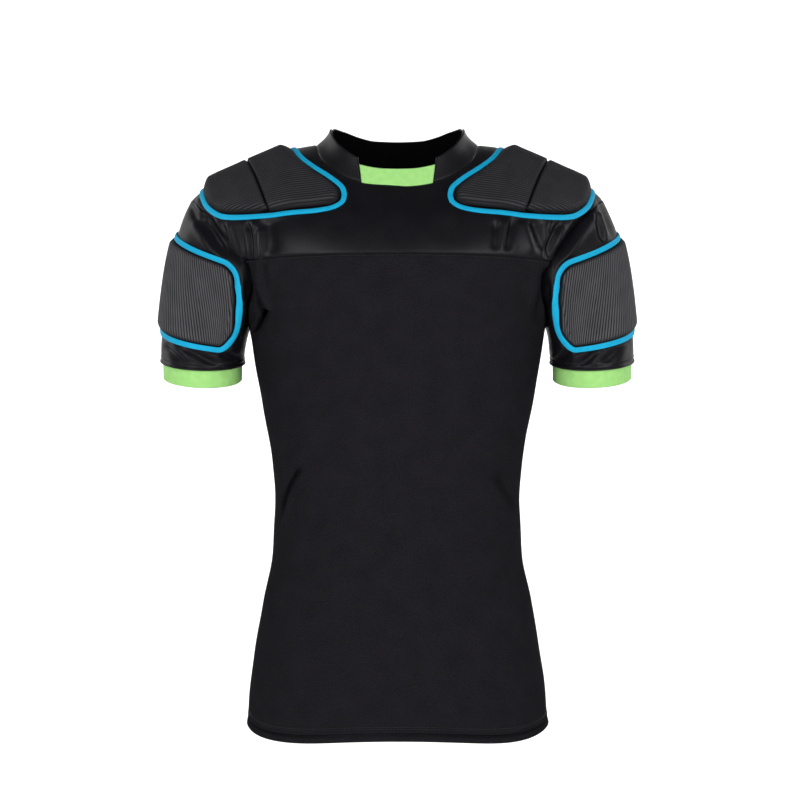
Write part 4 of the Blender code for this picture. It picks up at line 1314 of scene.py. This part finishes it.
PAD_FORMS = (
    ("shoulder_pad_inner_", pad_form(shoulder_chart, inner_edges, rib_range(SHOULDER_EDGE), SHOULDER_EDGE,
                                     SHOULDER_BEVEL, SEAT, SHOULDER_THICK, groove)),
    ("shoulder_pad_outer_", pad_form(shoulder_chart, outer_edges, (-OUTER_REACH, OUTER_REACH),
                                     SHOULDER_EDGE, SHOULDER_BEVEL, SEAT, SHOULDER_THICK, groove)),
    ("bicep_pad_", pad_form(bicep_chart, lambda at: span(BICEP_EDGE, at), rib_range(BICEP_EDGE), BICEP_EDGE,
                            BICEP_BEVEL, BICEP_SEAT, BICEP_THICK)),
)
TAPE_FORMS = (
    ("shoulder_tape_", tape_form(shoulder_chart, SHOULDER_LINE, SEAT)),
    ("bicep_tape_", tape_form(bicep_chart, BICEP_LINE, BICEP_SEAT)),
)
for word, hand in HANDS:
    for name, (points, faces, cut, ribbed) in PAD_FORMS:
        # Shoulder pads take the darker copy of the cover, as painted shade
        cover = BICEP_COVER if name == "bicep_pad_" else SHADED_SHOULDER_COVER
        block = add(name + "cover_" + word, mirrored(points, hand), faces, cover, cut, ribbed)
        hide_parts(name + word)
    for name, (points, faces, cut, (line, up)) in TAPE_FORMS:
        strip = add(name + "strip_" + word, mirrored(points, hand), faces, BLUE_TAPE, cut)
        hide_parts(name + word)
        thread_rows = stitched(name + "stitches_" + word, [(mirrored(line, hand), mirrored(up, hand))],
                               BLUE_THREAD)

# Body and yoke
AXIS = (0.0, 0.0, -0.35)
EDGE_NORMALS = []
for word, side in (("front", -1), ("back", 1)):
    form = body_rows(side)
    normals = body_normals(form)
    armhole_normals = normals[HEM_ROWS + LOW_ROWS:, -1]
    beside, along = arcs(form)
    to_side = np.minimum(beside, beside[:, -1:] - beside)
    straight = np.ones_like(form)
    straight[..., 0] -= CREASE_TURN * ease(to_side / SEAM_CLEAR)
    sewn = seam_dip(along[-1] - along, beside) + side_dips(beside, along)
    sewn += hem_fold(along, beside, HEM_TALL, HEM_ROLL)
    rows = moved(form, normals, unit(normals * straight), to_side, clear_of_tape(form), sewn)
    lines = [line_at(rows, normals, along, at) for at in (HEM_TALL, HEM_TALL + STITCH_IN)]
    lines.append(line_at(rows, normals, along, STITCH_IN, from_end=True))
    if side > 0:
        lines += side_lines(rows, normals, beside, SIDE_STITCH_IN)
    dress(word + "_body_cloth", word + "_body", form, rows, normals, BODY_FABRIC,
          free=("first",), stitches=word + "_body_stitches", lines=lines)

    form = yoke_at(side, *np.meshgrid(body_shares(), np.linspace(0, 1, YOKE_ROWS + 1)))
    normals = normals_of(form, AXIS)
    EDGE_NORMALS.append(np.concatenate([armhole_normals, normals[1:, -1]]))
    beside, along = arcs(form)
    to_side = np.minimum(beside, beside[:, -1:] - beside)
    sewn = seam_dip(along, beside) + seam_dip(along[-1] - along, beside) + side_dips(beside, along)
    rows = moved(form, normals, normals, to_side, clear_of_tape(form), sewn)
    at_neck = [values[:, NECK_COLUMNS] for values in (rows, normals, along)]
    lines = side_lines(rows, normals, beside, STITCH_IN) + [line_at(*at_neck, STITCH_IN, from_end=True)]
    dress(word + "_yoke_cloth", word + "_yoke", form, rows, normals, YOKE_FABRIC,
          stitches=word + "_yoke_stitches", lines=lines)

# Sleeves and cuffs
RING_TURN = np.unwrap(arm_turn(evenly(ARMHOLE_EDGE, SLEEVE_COLUMNS)))
RING_TURN -= 2 * math.pi * round(RING_TURN.mean() / (2 * math.pi))
EDGE_TURN = np.unwrap(arm_turn(armhole(ARM_ROWS, YOKE_ROWS)))
SLEEVE_INSIDE = (SLEEVE_END, 0, -0.2)
front_edge, back_edge = EDGE_NORMALS
ring_normals = unit(between(RING_TURN, EDGE_TURN, np.concatenate([front_edge, back_edge[::-1]])))
down = np.linspace(0, 1, SLEEVE_ROWS + 1)
sleeve = sleeve_at(*np.meshgrid(RING_TURN, down))
sleeve_normals = normals_of(sleeve, SLEEVE_INSIDE, closed=True)


def toward_ring(share):
    """Sleeve normals turned by a share toward those of the panels at the armhole."""
    return unit(sleeve_normals * (1 - share) + ring_normals * share)


near_ring = (1 - ease(down / RING_BLEND))[:, None, None]
push = toward_ring(near_ring)
wall = toward_ring(near_ring * ((1 + np.cos(RING_TURN)) / 2)[:, None])
beside, along = arcs(sleeve)
to_end = along[-1] - along
clear = clear_of_tape(sleeve) * ease(to_end / END_CLEAR)
sewn = seam_dip(along, beside) + hem_fold(to_end, beside, SLEEVE_HEM, SLEEVE_HEM / 2)

cuff_middle = sleeve[-1].mean(0)
out = unit((sleeve[-1] - cuff_middle) * (1, 1, 0))
drops = np.linspace(-CUFF_TUCK, CUFF_DROP, CUFF_ROWS + 1)
narrow = np.interp(drops, (-CUFF_TUCK, 0, CUFF_STEP, CUFF_DROP),
                   (CUFF_TOP_NARROW, CUFF_TOP_NARROW, CUFF_STEP_NARROW, CUFF_NARROW))
cuff = sleeve[-1] - out * narrow[:, None, None] - drops[:, None, None] * np.array([0, 0, 1])

for word, hand in HANDS:
    form = mirrored(sleeve, hand)
    pushed = mirrored(push, hand)
    normals = mirrored(wall, hand)
    rows = moved(form, pushed, pushed, along, clear, sewn)
    line, up = line_at(rows, normals, along, SLEEVE_HEM, from_end=True)
    dress("sleeve_cloth_" + word, "sleeve_" + word, form, rows, normals, YOKE_FABRIC,
          closed=True, free=("last",), stitches="sleeve_stitches_" + word,
          lines=[(looped(line), looped(up))])
    rows = mirrored(cuff, hand)
    normals = normals_of(rows, mirrored(cuff_middle, hand), closed=True)
    dress("cuff_band_" + word, "cuff_" + word, rows, rows, normals, CUFF_FABRIC,
          closed=True, free=("first", "last"))

# Collar, from one front end round the back to the other
NECK_MIDDLE = (0.0, 0.0, 0.0)
half_turn = np.linspace(math.radians(COLLAR_END_BASE), math.pi, COLLAR_COLUMNS // 2 + 1)
spread = (math.pi - math.radians(COLLAR_END_RIM)) / (math.pi - math.radians(COLLAR_END_BASE))
half_rim = math.pi - (math.pi - half_turn) * spread
base, rim = [np.concatenate([half, -half[-2::-1]]) for half in (half_turn, half_rim)]
form = band_rows(base, rim, np.ones_like(base), COLLAR_ROWS)
normals = normals_of(form, NECK_MIDDLE)
beside, along = arcs(form)
rows = form + normals * (COLLAR_WAVES * waved(form) + seam_dip(along, beside))[..., None]
normals = normals_of(rows, NECK_MIDDLE)
# The collar's inner faces take the near-black second material as painted shade
dress("collar_band", "collar", form, rows, normals, COLLAR_FABRIC,
      free=("last",), inside_shade=COLLAR_INSIDE_SHADE, stitches="collar_stitches",
      lines=side_lines(rows, normals, beside, STITCH_IN))

# Tab: the plain insert between the collar's front ends
tab_share = np.linspace(-1, 1, TAB_COLUMNS + 1)
tab_turn = np.radians(TAB_END) * tab_share
tab_top = level(tab_share, TAB_TOP_END, TAB_TOP_MIDDLE)
rows = band_rows(tab_turn, tab_turn * COLLAR_END_RIM / COLLAR_END_BASE, tab_top, TAB_ROWS)
normals = normals_of(rows, NECK_MIDDLE)
dress("collar_tab_band", "collar_tab", rows, rows, normals, TAB_FABRIC,
      free=("last",))

# Camera at the photograph's angle
VIEW_DISTANCE = 2.2
VIEW_HEIGHT = -0.2997
VIEW_ACROSS = 0.0031
VIEW_LENS = 83.9
VIEW_SENSOR = 36.0
camera = bpy.data.objects.new("camera", bpy.data.cameras.new("camera"))
camera.data.lens = VIEW_LENS
camera.data.sensor_width = VIEW_SENSOR
camera.location = (VIEW_ACROSS, -VIEW_DISTANCE, VIEW_HEIGHT)
camera.rotation_euler = (math.pi / 2, 0, 0)
bpy.context.collection.objects.link(camera)
bpy.context.scene.camera = camera

# Pale floor that sweeps up behind the top
FLOOR = -1.45
SWEEP_START = 1.6
SWEEP_RADIUS = 1.2
STAGE_HALF = 6.0
STAGE_TOP = 4.0
SWEEP_STEPS = 25
profile = [(-STAGE_HALF, FLOOR), (SWEEP_START, FLOOR)]
for angle in np.radians(np.linspace(0, 90, SWEEP_STEPS))[1:]:
    up = FLOOR + SWEEP_RADIUS * (1 - math.cos(angle))
    profile.append((SWEEP_START + SWEEP_RADIUS * math.sin(angle), up))
profile.append((SWEEP_START + SWEEP_RADIUS, STAGE_TOP))
stage_points = [(x, y, z) for y, z in profile for x in (-STAGE_HALF, STAGE_HALF)]
stage_mesh = bpy.data.meshes.new("studio_floor")
stage_mesh.from_pydata(stage_points, [], quads(np.arange(len(stage_points)).reshape(-1, 2)))
stage_mesh.polygons.foreach_set("use_smooth", np.ones(len(stage_mesh.polygons), bool))
pale, pale_tree, pale_shader = nodes_of("pale_floor")
shade(pale_tree, pale_shader, PALE, roughness=0.9, specular=0.1)
stage_mesh.materials.append(pale)
floor = bpy.data.objects.new("studio_floor", stage_mesh)
bpy.context.collection.objects.link(floor)

# Soft studio light from both sides: place of the right one, what it faces, size and power
CHEST = (0, 0, -0.28)
LAMPS = (
    ("softbox_", (1.3, -2.2, 0.15), CHEST, (0.8, 1.5), 64),
    ("strip_", (2.0, -1.2, -0.10), CHEST, (0.3, 1.5), 2),
    ("sweep_", (2.4, 0.9, 0.6), (0.4, 2.8, -0.4), (1.2, 2.2), 70),
)
WORLD_LIGHT = 0.08
for kind, place, target, size, energy in LAMPS:
    for word, hand in (("left", -1), ("right", 1)):
        lamp = bpy.data.lights.new(kind + word, "AREA")
        lamp.shape = "RECTANGLE"
        lamp.size, lamp.size_y = size
        lamp.energy = energy
        light = bpy.data.objects.new(kind + word, lamp)
        start, end = [Vector(mirrored(np.array(point), hand)) for point in (place, target)]
        light.location = start
        light.rotation_euler = (end - start).to_track_quat("-Z", "Y").to_euler()
        bpy.context.collection.objects.link(light)

world = bpy.data.worlds.new("studio")
world.use_nodes = True
feed(world.node_tree, world.node_tree.nodes["Background"], {"Color": (1, 1, 1, 1), "Strength": WORLD_LIGHT})
bpy.context.scene.world = world
bpy.context.scene.view_settings.view_transform = "Standard"
